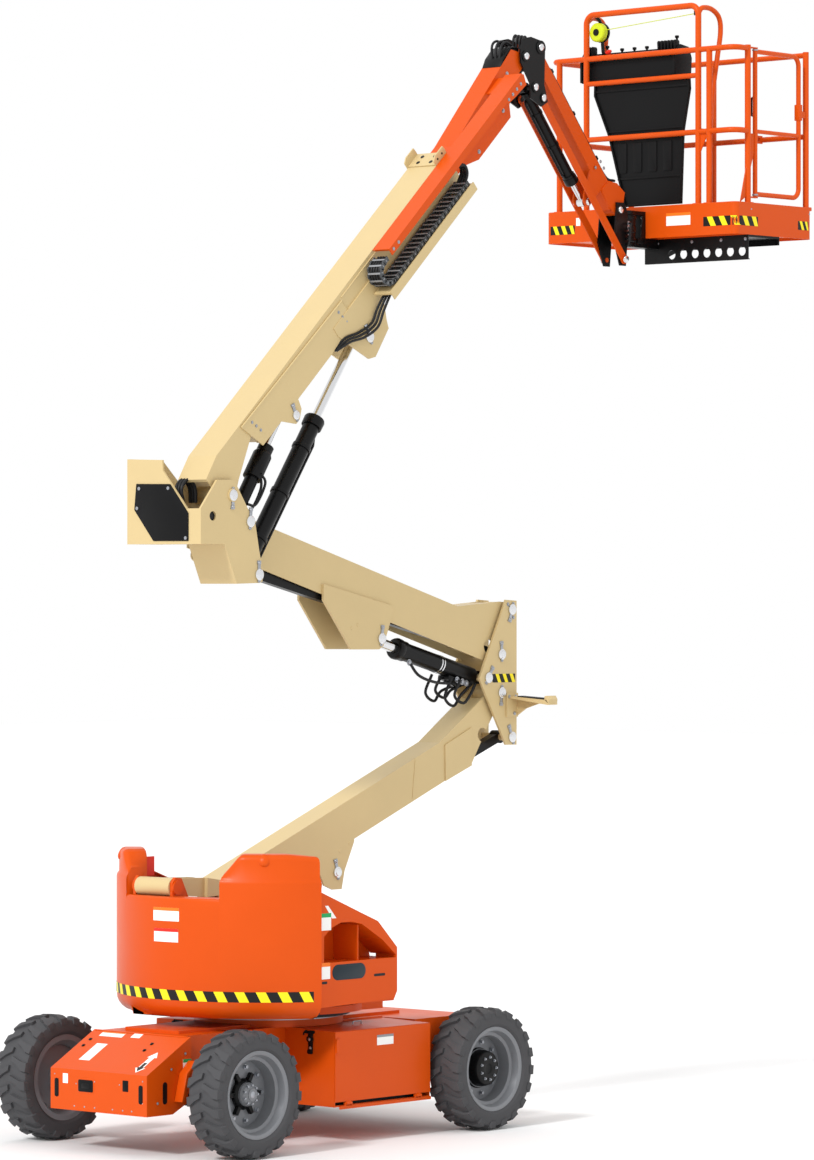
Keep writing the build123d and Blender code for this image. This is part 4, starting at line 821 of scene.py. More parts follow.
# ---------------------------------------------------------------- turntable
@dataclass
class Turntable:
    """Tail hood with its soft shoulders, the hazard band, the cowls' signs and slots."""

    places: Places
    radius: float = 875.0
    inner: float = 725.0
    foot: float = 726.0
    shoulder: float = 1520.0
    crown: float = 1655.0
    notch: float = 1405.0
    notch_deg: float = 24.7
    notch_half: float = 366.0
    pocket_x: float = -804.0
    pocket_low: float = -16.0
    pocket_high: float = 318.0
    edge_deg: float = 63.0
    front_x: float = -397.0

    def build(self) -> None:
        """Make the hood and dress the turntable."""
        self.hood()
        self.signs()
        self.cowls()

    def section(self, top: float) -> list[tuple[float, float]]:
        """Hood section from inside foot to inside top, as (radius, height); a shoulder steps it in where it is high."""
        r, z0 = self.radius, self.foot
        rows = [(self.inner, z0 + 2), (r - 95, z0)]
        rows += [(r - 95 + 95 * math.sin(math.radians(a)),
                  z0 + 95 - 95 * math.cos(math.radians(a))) for a in (15, 30, 45, 60, 75)]
        rows += [(r, z0 + 110)]
        raised = top > self.shoulder
        if raised:
            rows += [(r, self.shoulder - 30), (r - 3, self.shoulder - 14), (r - 14, self.shoulder)]
            edge, r = min(34.0, (top - self.shoulder) * 0.8), r - 14
        else:
            rows += [(r, top - 60), (r, top - 40), (r, top - 24)]
            edge = 14.0
        rows += [(r - 1, top - edge)]
        rows += [(r - edge + edge * math.cos(math.radians(a)),
                  top - edge + edge * math.sin(math.radians(a))) for a in (30, 60, 90)]
        return rows + [(self.inner + 12, top), (self.inner, top - 12)]

    def on_ring(self, radius: float, turn: float, raised: bool) -> tuple[float, float]:
        """Plan place at a radius and turn, behind the notch's straight walls where raised and behind the tower foot's pocket."""
        y = radius * math.sin(math.radians(turn))
        if raised and abs(y) < self.notch_half:
            y = math.copysign(self.notch_half, turn)
        x = min(self.front_x, -math.sqrt(radius * radius - y * y))
        if not raised and self.pocket_low < y < self.pocket_high:
            x = min(x, self.pocket_x)
        return x, y

    def hood(self) -> None:
        """Sweep the section round the tail: low in the notch, sloping up to the two crowns."""
        shape = Shape("tail_hood", ORANGE)
        rings = []
        for start, end, steps, raised in ((-self.edge_deg, -self.notch_deg, 24, True),
                                          (-self.notch_deg, self.notch_deg, 16, False),
                                          (self.notch_deg, self.edge_deg, 24, True)):
            for k in range(steps + 1):
                turn = start + (end - start) * k / steps
                top = self.notch
                if raised:
                    top = min(self.crown, self.shoulder + 6 + (abs(turn) - self.notch_deg) * 17.0) - max(0.0, abs(turn) - 50) * 1.2
                rings.append([self.places.at(*self.on_ring(radius, turn, raised), high) for radius,
                              high in self.section(top)])
        n, last = len(rings[0]), len(rings) - 1
        faces = [(k * n + i, k * n + (i + 1) % n, (k + 1) * n + (i + 1) % n,
                  (k + 1) * n + i) for k in range(last) for i in range(n)]
        shape.add([v for ring in rings for v in ring],
                  faces + [tuple(range(n)), tuple(reversed(range(last * n, last * n + n)))])
        hood = shape.done("turntable", bevel_mm=9, smooth_deg=50)
        slug = Shape("tail_ballast", ORANGE)
        for hand in (-1, 1):
            low = -60 if hand < 0 else 330
            ring = [(-735 * math.cos(math.radians(a)), 735 * math.sin(math.radians(a))) for a in range(5, 41, 5)]
            if hand < 0:
                pts = [(x, -y) for x, y in ring if y > 60] + [(-562, -475), (-562, low)]
            else:
                pts = [(x, y) for x, y in ring if y > 330] + [(-562, 475), (-562, low)]
            slug.prism([self.places.at(x, y, 742) for x, y in pts], Vector((0, 0, 376 * MM)))
        ballast = slug.done("turntable", bevel_mm=4)
        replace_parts(hood, "counterweight")
        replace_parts(ballast, "counterweight")
        bumps = Shape("hood_bosses", ORANGE)
        for turn in (-41.5, 41.5):
            spot = self.places.at(-(self.radius - 30) * math.cos(math.radians(turn)),
                                  (self.radius - 30) * math.sin(math.radians(turn)), 1622)
            out = Vector((-math.cos(math.radians(turn)), math.sin(math.radians(turn)), 0.5)).normalized()
            bumps.turned(((-20, 40), (4, 38), (14, 30), (19, 18), (21, 0.4)), spot, out, 24)
        bumps.done("turntable", smooth_deg=60)
        patch = Shape("crown_inner_patch", SIGN_RED)
        patch.prism([self.places.at(x, 372, z) for x, z in ((-640, 1500), (-560, 1500), (-560, 1610), (-640, 1610))],
                    Vector((0, 3 * MM, 0)))
        patch.done("turntable")

    def signs(self) -> None:
        """Hazard band round the tail and the two blank signs above it."""
        drum = drum_face(self.places.at(0, 0, 0), self.radius)
        arc = self.radius * math.radians(60)
        hazard("tail_hazard", "turntable", drum, (-arc, arc), (828, 886), 122, 30, 2)
        sign("tail_sign_high", "turntable", drum, (-74, 1272), (196, 76), SIGN_ORANGE, 8)
        sign("tail_sign_low", "turntable", drum, (-68, 1154), (184, 76), SIGN_RED, 8)

    def cowls(self) -> None:
        """Near and far cowl: signs, slots drawn as black plates of painted shade, the blank badge and the folded edges.
        """
        at = self.places.at
        near = flat_face(at(0, -757, 0), (1, 0, 0), (0, 0, 1))
        far = flat_face(at(0, 757, 0), (-1, 0, 0), (0, 0, 1))
        sign("cowl_sign_green", "turntable", near, (-380, 1224), (86, 96), SIGN_GREEN)
        Shape("cowl_sign_strip", VINYL).stone([(-344, 1362), (-318, 1362), (-250, 1289), (-286, 1289)], near, 0,
                                              0.8).done("turntable")
        sign("cowl_sign_low", "turntable", near, (-372, 950), (70, 92), SIGN_ORANGE)
        Shape("cowl_badge", SIGN_NAVY).stone(rounded_box(280, 88, 44, -284, 938), near, 0,
                                             1.6).done("turntable", bevel_mm=0.5)
        Shape("cowl_badge_far", SIGN_NAVY).stone(rounded_box(280, 88, 44, 4, 938), far, 0,
                                                 1.6).done("turntable", bevel_mm=0.5)
        # Black plates in the open slots: painted shade inside them.
        slots = Shape("cowl_slots", SIGN_BLACK)
        for u, w, v in ((68, 94, 942), (-370, 44, 922)):
            slots.stone(rounded_box(w, 15, 7, u, v), near, 0, 0.8)
            slots.stone(rounded_box(w, 15, 7, -u - w, v), far, 0, 0.8)
        slots.done("turntable")
        folds = Shape("cowl_folds", ORANGE)
        for hand in (-1, 1):
            edge = [(-392, 1446), (-60, 1317), (102, 1255), (266, 1098),
                    (266, 852)] if hand < 0 else [(-392, 1560), (-60, 1440), (256, 1110), (266, 852)]
            for (x0, z0), (x1, z1) in zip(edge, edge[1:]):
                deep = 150 if hand < 0 else 40
                run = Vector((x1 - x0, 0, z1 - z0)).normalized()
                inward = Vector((run.z, 0, -run.x)) * 5
                corners = [(x0, z0), (x1, z1), (x1 + inward.x, z1 + inward.z), (x0 + inward.x, z0 + inward.z)]
                folds.prism([at(x, hand * 746, z) for x, z in corners], Vector((0, -hand * deep * MM, 0)))
        folds.done("turntable")
        arch = [(-353, 1040), (-353, 1188), (-290, 1235), (-211, 1262), (-120, 1262), (-34, 1245), (136, 1150),
                (256, 1056)]
        lining = Shape("cowl_arch_lining", ORANGE)
        for (x0, z0), (x1, z1) in zip(arch, arch[1:]):
            run = Vector((x1 - x0, 0, z1 - z0)).normalized()
            up = Vector((-run.z, 0, run.x)) * 5
            lining.prism([at(x, -746, z) for x, z in ((x0, z0), (x1, z1), (x1 + up.x, z1 + up.z),
                                                      (x0 + up.x, z0 + up.z))],
                         Vector((0, 188 * MM, 0)))
        lining.done("turntable")
        chock = Shape("hood_buffer", HOSE)
        for hand in (-1, 1):
            chock.prism([at(x, hand * 700, z) for x,
                         z in ((-396, 780), (-340, 772), (-322, 752), (-350, 728), (-396, 735))],
                        Vector((0, -hand * 60 * MM, 0)))
        chock.done("turntable", bevel_mm=3)


# ---------------------------------------------------------------- tower
@dataclass
class Tower:
    """Pins, plates and cylinder trim of the folding tower, from its tail to the rear upright."""

    places: Places
    middle: float = 170.0

    def build(self) -> None:
        """Dress the lower boom, the uprights and the mid boom."""
        self.pins()
        self.upright()
        self.booms()
        self.cylinder()
        self.tail()

    def pins(self) -> None:
        """Bright pin heads with their keepers, on both faces of every bracket."""
        at = self.places.at
        # body, near face, far face, then (x, z, keeper direction) of each pin
        rows = (
            ("upright_1", 50, 290, ((2225, 3014, -108), (2129, 2741, 92), (2005, 2600, 57), (2129, 2508, -94),
                                    (2225, 2235, 112))),
            ("lower_boom", 84, 256, ((679, 1475, 103),)),
            ("mid_boom", 64, 276, ((1048, 2846, 83),)),
            ("upright_2", -257, 27, ((-571, 3673, -92), (-428, 3525, 86), (-356, 3224, 90))),
        )
        for body, near, far, spots in rows:
            ends = PinEnds(f"{body}_pin_ends", body)
            for x, z, turn in spots:
                ends.add(at(x, near, z), -1, turn).add(at(x, far, z), 1, turn)
            ends.done()
        PinEnds("tail_pin_end", "upright_2").add(at(-350, 323, 3607), 1, -92).done()

    def upright(self) -> None:
        """Upright 1: hazard band, bolts of the boom rest and its rubber pad."""
        at = self.places.at
        near = flat_face(at(0, 50, 0), (1, 0, 0), (0, 0, 1))
        Shape("upright_hazard", SIGN_BLACK).stone([(2046, 2570), (2257, 2570), (2257, 2622), (2036, 2622)], near, 0,
                                                  0.8).done("upright_1")
        bars = Shape("upright_hazard_stripes", SIGN_YELLOW)
        for u in (2072, 2138, 2204):
            bars.stone([(u + 26, 2570), (u + 54, 2570), (u + 30, 2622), (u, 2622)], near, 0.7, 1.2)
        bars.done("upright_1")
        bolts = Shape("rest_bolts", ZINC)
        for u, v, y in ((2238, 2380, 38), (2190, 2482, 38), (2250, 2482, 38), (2240, 2965, 50), (2190, 3045, 50)):
            bolts.bolt(at(u, y, v), (0, -1, 0), 8 * MM)
        bolts.done("upright_1")
        pad = Shape("rest_pad", HOSE)
        pad.prism([at(2196, y, z) for y, z in ((-20, 2480), (-235, 2468), (-235, 2476), (-20, 2488))],
                  Vector((64 * MM, 0, 0)))
        pad.done("upright_1", bevel_mm=2)
        lip = Shape("rest_tip", CREAM)
        lip.prism([at(2190, y, z) for y, z in ((-238, 2466), (-272, 2440), (-275, 2470), (-262, 2492), (-240, 2490))],
                  Vector((84 * MM, 0, 0)))
        lip.done("upright_1", bevel_mm=3)

    def booms(self) -> None:
        """Weld marks and collar lines of the two tower booms."""
        at = self.places.at
        for body, y, marks in (("mid_boom", 64, ((788, 2910), (841, 2928))),
                               ("lower_boom", 84, ((790, 1640), (705, 1600)))):
            dots = Shape(f"{body}_plugs", CREAM)
            for x, z in marks:
                dots.disc(at(x, y, z), (0, -1, 0), 11 * MM, 2 * MM, 1 * MM, 18)
            dots.done(body)
        seam = Shape("lower_boom_seams", CREAM)
        near = flat_face(at(0, 84, 0), (1, 0, 0), (0, 0, 1))
        for a, b in (((1372, 2116), (1345, 1885)),):
            seam.stone([a, (a[0] + 9, a[1]), (b[0] + 9, b[1]), b], near, -0.5, 2.5)
        seam.done("lower_boom")

    def cylinder(self) -> None:
        """Tower cylinder: gland rings, bright bands, the valve block and its hose loops."""
        at = self.places.at
        foot, head = at(2005, self.middle, 2600), at(1048, self.middle, 2846)
        way = (head - foot).normalized()
        rise = Vector((way.z, 0, -way.x)) * -1
        if rise.z < 0:
            rise = -rise
        bands = Shape("tower_cylinder_bands", PIN_STEEL)
        for k in (330, 352):
            bands.lathe([(0, 0.054), (0, 0.0575), (0.009, 0.0575), (0.009, 0.054)], foot + way * k * MM, way, 36)
        bands.done("tower_barrel")
        block = Shape("tower_cylinder_valve", ENAMEL)
        side = Vector((0, 1, 0))
        for k, length, deep, wide in ((120, 150, 78, 44), (150, 80, 94, 30)):
            corner = foot + way * k * MM - rise * deep * MM - side * wide * MM
            block.prism([corner, corner + way * length * MM, corner + way * length * MM + rise * (deep - 50) * MM,
                         corner + rise * (deep - 50) * MM], side * 2 * wide * MM)
        block.lathe([(0, 0.0005), (0, 0.064), (0.03, 0.066), (0.046, 0.06), (0.046, 0.034)], foot + way * 704 * MM,
                    way, 36)
        block.done("tower_barrel", bevel_mm=3)
        spots = Shape("tower_cylinder_fittings", ZINC)
        for k, y in ((110, -50), (150, -50), (200, -50), (640, -40)):
            spots.bolt(foot + way * k * MM - rise * 62 * MM + side * y * MM, (0, -1, 0), 13 * MM)
        spots.done("tower_barrel")
        loops = []
        for k, drop, y in ((190, 130, -70), (240, 160, -40), (280, 120, 10), (320, 150, 50)):
            a = foot + way * k * MM - rise * 60 * MM + side * y * MM
            loops.append([a, a - rise * drop * 0.8 * MM + way * 30 * MM, a - rise * drop * MM - way * 60 * MM,
                          a - rise * drop * 0.5 * MM - way * 110 * MM,
                          foot + way * 50 * MM - rise * 50 * MM + side * y * MM])
        loops.append([foot + way * 640 * MM - rise * 58 * MM - side * 40 * MM,
                      foot + way * 560 * MM - rise * 120 * MM - side * 60 * MM,
                      foot + way * 420 * MM - rise * 128 * MM - side * 64 * MM,
                      foot + way * 260 * MM - rise * 100 * MM - side * 50 * MM])
        slack = hoses("tower_cylinder_hoses", "tower_barrel", loops, 9)
        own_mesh(slack)

    def tail(self) -> None:
        """Rear upright: the moulded cover, its bolts, a dark disc of painted shade in the peep hole and the folded rim
        of the box.
        """
        at = self.places.at
        rear = flat_face(at(-830, 0, 0), (0, -1, 0), (0, 0, 1))
        outline = [(-248, 3739), (21, 3735), (163, 3570), (163, 3413), (-113, 3414), (-264, 3591)]
        cover = Shape("tail_cover_moulding", POLYETHYLENE).stone(outline, rear, 0, 5.5).done("upright_2", bevel_mm=2.5)
        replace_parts(cover, "tail_cover")
        bolts = Shape("tail_cover_bolts", ZINC)
        for y, z in ((224, 3712), (-6, 3712), (-143, 3430), (240, 3600)):
            bolts.lathe([(0, 0.0005), (0, 0.011), (0.0035, 0.010), (0.005, 0.006), (0.0055, 0.0004)], at(-835, y, z),
                        (-1, 0, 0), 14)
        bolts.done("upright_2")
        # Dark disc: painted shade inside the peep hole.
        dark = Shape("tail_peep_hole", HOSE)
        dark.disc(at(-732, -243, 3554), (0, -1, 0), 27 * MM, 1 * MM, 0, 28)
        dark.done("upright_2")
        bar = Shape("tail_rim", CREAM)
        for y, z, high in ((-250, 3396, 6), (-250, 3590, 6)):
            bar.block(at(-829, y, z), at(-818, 320, z + high))
        bar.done("upright_2", bevel_mm=2)
        loops = [[at(-690, -40 - 22 * k, 3630), at(-700, -40 - 22 * k, 3720), at(-745, -30 - 22 * k, 3760),
                  at(-796, -30 - 22 * k, 3710),
                  at(-780, -30 - 22 * k, 3630)] for k in range(3)]
        hoses("heel_hoses", "upright_2", loops, 10)


# ---------------------------------------------------------------- main boom
@dataclass
class MainBoom:
    """Cover plate bolts, mouth plate and ears, cylinder pipes and the hoses of the telescoping boom."""

    places: Places
    middle: float = -115.0
    half: float = 110.0
    mouth: float = 2770.0

    def build(self) -> None:
        """Dress the boom from heel to mouth."""
        self.bolts()
        self.pins()
        self.mouth_plate()
        self.cylinders()
        self.chain()
        self.fly()

    def spot(self, along: float, above: float, y_mm: float) -> Vector:
        """Point of the boom in millimetres."""
        return self.places.boom(along, above, y_mm * MM)

    def bolts(self) -> None:
        """Screws of the cover plate, and raised edge lines along the boom's near side."""
        screws = Shape("boom_cover_screws", ZINC)
        for s, t in ((420, 178), (432, 140), (444, 98), (1400, 160), (1408, 118), (1416, 76)):
            screws.bolt(self.spot(s, t, self.middle - self.half - 8), (0, -1, 0), 6.5 * MM)
        screws.done("main_boom")
        edge = Shape("boom_cover_edge", CREAM)
        near = self.middle - self.half
        edge.tube([self.spot(s, t, near - 6) for s, t in ((334, 214), (1467, 190), (1467, 40))], 5 * MM, 8)
        edge.tube([self.spot(s, 205 - 0 * s, near - 2) for s in (1480, 2060, 2700)], 4 * MM, 8)
        edge.done("main_boom")

    def pins(self) -> None:
        """Pin heads of the levelling and lifting cylinders on the boom's brackets."""
        ends = PinEnds("boom_bracket_pins", "main_boom", 27, 56)
        near, far = self.middle - self.half, self.middle + self.half
        ends.add(self.spot(719, -32, near - 8), -1, 114).add(self.spot(719, -32, far + 8), 1, 114)
        ends.done()
        ends = PinEnds("lift_bracket_pins", "main_boom")
        ends.add(self.spot(1500, -116, near - 12), -1, 117).add(self.spot(1500, -116, far + 12), 1, 117)
        ends.done()

    def mouth_plate(self) -> None:
        """Pale plate round the boom's mouth with its dark screws, and the two ears."""
        plate = Shape("mouth_plate", CREAM)
        m, y0, y1 = self.mouth, self.middle - self.half, self.middle + self.half
        plate.prism([self.spot(s, 230.5, y) for s, y in ((m - 120, y0), (m, y0), (m, y1), (m - 120, y1))],
                    self.places.rise * 7 * MM)
        for y, out in ((y0, -1), (y1, 1)):
            plate.prism([self.spot(s, t, y) for s, t in ((m - 128, 232), (m - 128, 268), (m - 96, 286), (m - 6, 286),
                                                         (m - 2, 262), (m - 2, 196), (m - 128, 196))],
                        Vector((0, out * 9 * MM, 0)))
        plate.done("main_boom", bevel_mm=1.5)
        holes = Shape("mouth_screws", SIGN_BLACK)
        for s in (m - 88, m - 34):
            for y in (y0 + 60, y1 - 60):
                holes.disc(self.spot(s, 237, y), self.places.rise, 13 * MM, 2.5 * MM, 1 * MM, 20)
        for y, out in ((y0 - 9, -1), (y1 + 9, 1)):
            for s in (m - 92, m - 40):
                holes.disc(self.spot(s, 258, y), (0, out, 0), 7 * MM, 2 * MM, 1 * MM, 14)
        holes.done("main_boom")

    def cylinders(self) -> None:
        """Side pipe of the lift barrel, the thicker gland of the levelling barrel and their hose loops."""
        a, b = self.places.at(-356, self.middle, 3224), self.places.at(606.19, self.middle, 4609.85)
        way = (b - a).normalized()
        out = Vector((way.z, 0, -way.x))
        pipe = Shape("lift_barrel_pipe", ENAMEL)
        pipe.tube(rounded_path([a + way * 80 * MM + out * 50 * MM, a + way * 110 * MM + out * 74 * MM,
                                a + way * 960 * MM + out * 74 * MM,
                                a + way * 1010 * MM + out * 50 * MM], 30 * MM), 9 * MM, 10)
        for k in (240, 560, 880):
            pipe.lathe([(0, 0.049), (0, 0.056), (0.026, 0.056), (0.026, 0.049)], a + way * k * MM, way, 32)
        pipe.lathe([(-0.05, 0.055), (-0.05, 0.061), (0.0, 0.063), (0.012, 0.058), (0.012, 0.028)], a + way * 1090 * MM,
                   way, 36)
        pipe.done("lift_barrel", bevel_mm=1)
        c, d = self.places.at(-428, self.middle, 3525), self.places.at(-22.81, self.middle, 4139.34)
        run = (d - c).normalized()
        sleeve = Shape("level_barrel_sleeve", ENAMEL)
        sleeve.lathe([(0.0, 0.039), (0.0, 0.056), (0.16, 0.056), (0.18, 0.045), (0.18, 0.039)], c + run * 300 * MM,
                     run, 32)
        sleeve.lathe([(0.0, 0.039), (0.0, 0.049), (0.05, 0.049), (0.05, 0.039)], c + run * 60 * MM, run, 32)
        sleeve.done("level_barrel", bevel_mm=2)
        side = Vector((0, 1, 0))
        loops = []
        for y, k, swell in ((-52, 80, 50), (-58, 120, 60), (52, 100, 50)):
            p = c + run * k * MM + side * y * MM
            loops.append([p, p - Vector((-run.z, 0, run.x)) * swell * MM + run * 40 * MM,
                          p - Vector((-run.z, 0, run.x)) * swell * MM + run * 180 * MM,
                          c + run * 330 * MM + side * y * MM])
        hoses("level_barrel_hoses", "level_barrel", loops, 8)
        near = self.middle - self.half - 12
        bends = []
        for k in range(3):
            y = near - 14 - 14 * k
            bends.append([self.spot(1840 + 20 * k, 20, y - 40), self.spot(1730 + 14 * k, 10 - 6 * k, y - 30),
                          self.spot(1640 + 10 * k, -28 - 12 * k, y - 6),
                          self.spot(1560, -60 - 16 * k, y), self.spot(1440, -30 - 18 * k, y + 6),
                          self.spot(1330, 20 - 14 * k, y + 10), self.spot(1230, 12, y + 40)])
        hoses("bracket_hoses", "main_boom", bends, 8)

    def chain(self) -> None:
        """Cable chain: jointed links round the loop, pale cross bars, and the bundle of hoses it carries."""
        y0, y1 = self.middle - self.half - 128, self.middle - self.half - 22
        centre, reach = (1790.0, 125.0), 67.0
        path = [(2690 - 42 * k, centre[1] - reach) for k in range(22)]
        path += [(centre[0] - reach * math.sin(a),
                  centre[1] - reach * math.cos(a)) for a in (math.pi * k / 5 for k in range(6))]
        path += [(centre[0] + 42, centre[1] + reach)]
        links, bars = Shape("cable_chain_links", NYLON), Shape("cable_chain_bars", SIGN_GREY)
        for (s0, t0), (s1, t1) in zip(path, path[1:]):
            length = math.hypot(s1 - s0, t1 - t0)
            us, ut = (s1 - s0) / length, (t1 - t0) / length
            spot = lambda k, o, y: self.spot(s0 + us * k - ut * o, t0 + ut * k + us * o, y)
            for y in (y0, y1 - 9):
                outline = [(-1, -14), (length * 0.32, -17), (length * 0.42, -11), (length * 0.84, -11),
                           (length + 5, -14), (length + 5, 14),
                           (length * 0.84, 11), (length * 0.42, 11), (length * 0.32, 17), (-1, 14)]
                links.prism([spot(k, o, y) for k, o in outline], Vector((0, 9 * MM, 0)))
            for o in (-14, 11):
                bars.prism([spot(k, o, y0 + 6) for k in (length * 0.36, length * 0.62)] + [spot(k, o + 3, y0 + 6) for k in (length * 0.62, length * 0.36)],
                           Vector((0, (y1 - y0 - 12) * MM, 0)))
            bars.prism([spot(k, o, y0 - 1.2) for k,
                        o in ((length * 0.5, -8), (length * 0.62, -8), (length * 0.62, 8), (length * 0.5, 8))],
                       Vector((0, 1.4 * MM, 0)))
        made = links.done("main_boom")
        bars.done("main_boom")
        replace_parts(made, "cable_chain")
        inside = []
        for k in range(4):
            y = y0 + 22 + 20 * k
            inside.append([self.spot(s, centre[1] - reach, y) for s in (2560, 2300, 2000)] + [self.spot(centre[0] - reach * math.sin(a),
                          centre[1] - reach * math.cos(a),
                          y) for a in (0.2, 0.9, 1.57, 2.3, 2.95)] + [self.spot(1850, centre[1] + reach, y)])
        hoses("chain_hoses", "main_boom", inside, 9)
        loop = []
        for k in range(3):
            y = y0 + 28 + 26 * k
            loop.append([self.spot(2600, 60, y), self.spot(2680, 62, y), self.spot(2740 + 8 * k, 90, y),
                         self.spot(2752 + 8 * k, 140, y),
                         self.spot(2700, 176 + 6 * k, y), self.spot(2640, 178 + 6 * k, y)])
        hoses("chain_end_hoses", "main_boom", loop, 11)

    def fly(self) -> None:
        """Fly head and rail: bolts, the black cap's rim, hose loop and side pin."""
        y_rail = self.middle - self.half - 140
        bolts = Shape("fly_rail_bolts", ZINC)
        for s in (1900, 1960, 3300, 3350, 3400, 3450):
            bolts.bolt(self.spot(s, 212 if s < 3000 else 196, y_rail), (0, -1, 0), 7 * MM)
        for s, t in ((3040, 20), (3380, 60), (3560, 200)):
            bolts.bolt(self.spot(s, t, self.middle - 75), (0, -1, 0), 9 * MM)
        bolts.done("fly_boom")
        rim = Shape("fly_cap_moulding", ENAMEL)
        rim.prism([self.spot(s, t, self.middle - 73) for s,
                   t in ((3540, 268), (3600, 292), (3690, 297), (3722, 284), (3756, 244), (3744, 232), (3690, 284),
                         (3560, 262))],
                  Vector((0, 146 * MM, 0)))
        rim.done("fly_boom", bevel_mm=4)
        loops = []
        for k in range(3):
            y = self.middle - 40 + 30 * k
            loops.append([self.spot(3600, 285, y), self.spot(3660, 330 + 8 * k, y), self.spot(3716, 322 + 6 * k, y),
                          self.spot(3748, 262, y)])
        hoses("fly_head_hoses", "fly_boom", loops, 8)


# ---------------------------------------------------------------- jib
@dataclass
class Jib:
    """Pins, bosses, hoses and fittings of the knuckle, the jib arm and the rotator."""

    places: Places
    middle: float = -115.0

    def build(self) -> None:
        """Dress the jib from its knuckle to the rotator."""
        self.pins()
        self.knuckle()
        self.arm()
        self.rotator()

    def pins(self) -> None:
        """Domed pin heads of the jib."""
        rows = (("fly_boom", 98, ((2050, 6361),)), ("jib_knuckle", 96, ((2141, 6180), (2190, 6425), (2215, 6120))),
                ("jib_arm", 46, ((2700, 5520),)), ("jib_links", 89, ((3015, 5180),)),
                ("platform_pivot", 68, ((2990, 5485),)))
        for body, half, spots in rows:
            heads = Shape(f"{body}_pin_heads", PIN_STEEL)
            for side in (-1, 1):
                for x, z in spots:
                    r = 22.5
                    heads.turned(((0, r), (8.5, r), (12, r * 0.9), (15, r * 0.6), (16, 0.3)),
                                self.places.at(x, self.middle + side * half, z), (0, side, 0), 24)
            heads.done(body, smooth_deg=50)

    def knuckle(self) -> None:
        """Bosses, cross ribs and the hose bundle over the knuckle."""
        at = self.places.at
        ribs = Shape("knuckle_ribs", ENAMEL)
        for side in (-1, 1):
            for x, z, r in ((2190, 6425, 42), (2050, 6361, 36), (2141, 6180, 34), (2215, 6120, 30)):
                ribs.turned(((-2, r), (5, r), (7, r - 3), (7, 20)), at(x, self.middle + side * 96, z), (0, side, 0), 32)
        ribs.done("jib_knuckle", bevel_mm=1)
        runs = []
        for k in range(4):
            y = self.middle - 36 + 24 * k
            runs.append([at(2090, y, 6410), at(2092, y, 6466 + 4 * k), at(2114, y, 6486 + 4 * k), at(2134, y, 6452)])
        hoses("knuckle_hoses", "jib_knuckle", runs, 9)

    def arm(self) -> None:
        """Jib arm: hoses clipped along its back, the cylinder's side pipe and the bolts on the arm's sides."""
        at = self.places.at
        top, foot = Vector((2190, 0, 6425)), Vector((2990, 0, 5485))
        way = (foot - top).normalized()
        out = Vector((-way.z, 0, way.x))
        point = lambda k, o, y: at((top + way * k + out * o).x, self.middle + y, (top + way * k + out * o).z)
        runs = []
        for n, y in enumerate((-30, -12, 6, 24)):
            runs.append([point(190, 50, y), point(250, 50, y), point(420, 50 + 4 * n, y), point(760, 50, y),
                         point(1010, 52, y), point(1090, 108, y)])
        hoses("jib_arm_hoses", "jib_arm", runs, 8)
        clips = Shape("jib_arm_clips", ENAMEL)
        for k in (200, 520, 860):
            clips.prism([point(k, 40, -46), point(k + 26, 40, -46), point(k + 26, 64, -40), point(k, 64, -40)],
                        Vector((0, 86 * MM, 0)))
        clips.done("jib_arm", bevel_mm=2)
        a, b = at(2141, self.middle, 6180), at(2700, self.middle, 5520)
        run = (b - a).normalized()
        side = Vector((run.z, 0, -run.x))
        pipe = Shape("jib_barrel_pipe", ENAMEL)
        pipe.tube(rounded_path([a + run * 70 * MM + side * 34 * MM, a + run * 90 * MM + side * 50 * MM,
                                a + run * 620 * MM + side * 50 * MM,
                                a + run * 650 * MM + side * 36 * MM], 20 * MM), 7 * MM, 10)
        pipe.lathe([(-0.03, 0.038), (-0.03, 0.043), (0.01, 0.045), (0.02, 0.04), (0.02, 0.019)], a + run * 700 * MM,
                   run, 32)
        for k in (180, 420):
            pipe.lathe([(0, 0.033), (0, 0.038), (0.02, 0.038), (0.02, 0.033)], a + run * k * MM, run, 28)
        pipe.done("jib_barrel", bevel_mm=1)
        plugs = Shape("jib_arm_plugs", ZINC)
        for side_y in (-1, 1):
            for k, o in ((900, 52), (950, 52), (900, -10)):
                plugs.bolt(point(k, o, side_y * 54), (0, side_y, 0), 7 * MM)
        plugs.done("jib_arm")

    def rotator(self) -> None:
        """Rotary actuator: bands, ports and hoses looping to the platform's foot."""
        at = self.places.at
        x = 3125
        drum = Shape("rotator_bands", ENAMEL)
        for z, r, h in ((5292, 68, 26), (5434, 68, 24), (5350, 66, 40)):
            drum.turned(((0, 60), (0, r - 3), (3, r), (h - 3, r), (h, r - 3), (h, 60)), at(x, self.middle, z),
                        (0, 0, 1), 40)
        drum.block(at(3040, self.middle - 66, 5330), at(3100, self.middle - 50, 5420))
        drum.done("platform_pivot", bevel_mm=2)
        ports = Shape("rotator_ports", ZINC)
        for z in (5345, 5375, 5405):
            ports.bolt(at(3070, self.middle - 66, z), (0, -1, 0), 10 * MM)
        ports.done("platform_pivot")
        runs = []
        for k, z in enumerate((5345, 5375, 5405)):
            runs.append([at(3070, self.middle - 72, z), at(3060 - 4 * k, self.middle - 92 - 5 * k, z - 8),
                         at(3048 - 4 * k, self.middle - 92 - 4 * k, z - 50),
                         at(3056, self.middle - 70, z - 80 + 10 * k)])
        hoses("rotator_hoses", "platform_pivot", runs, 7)


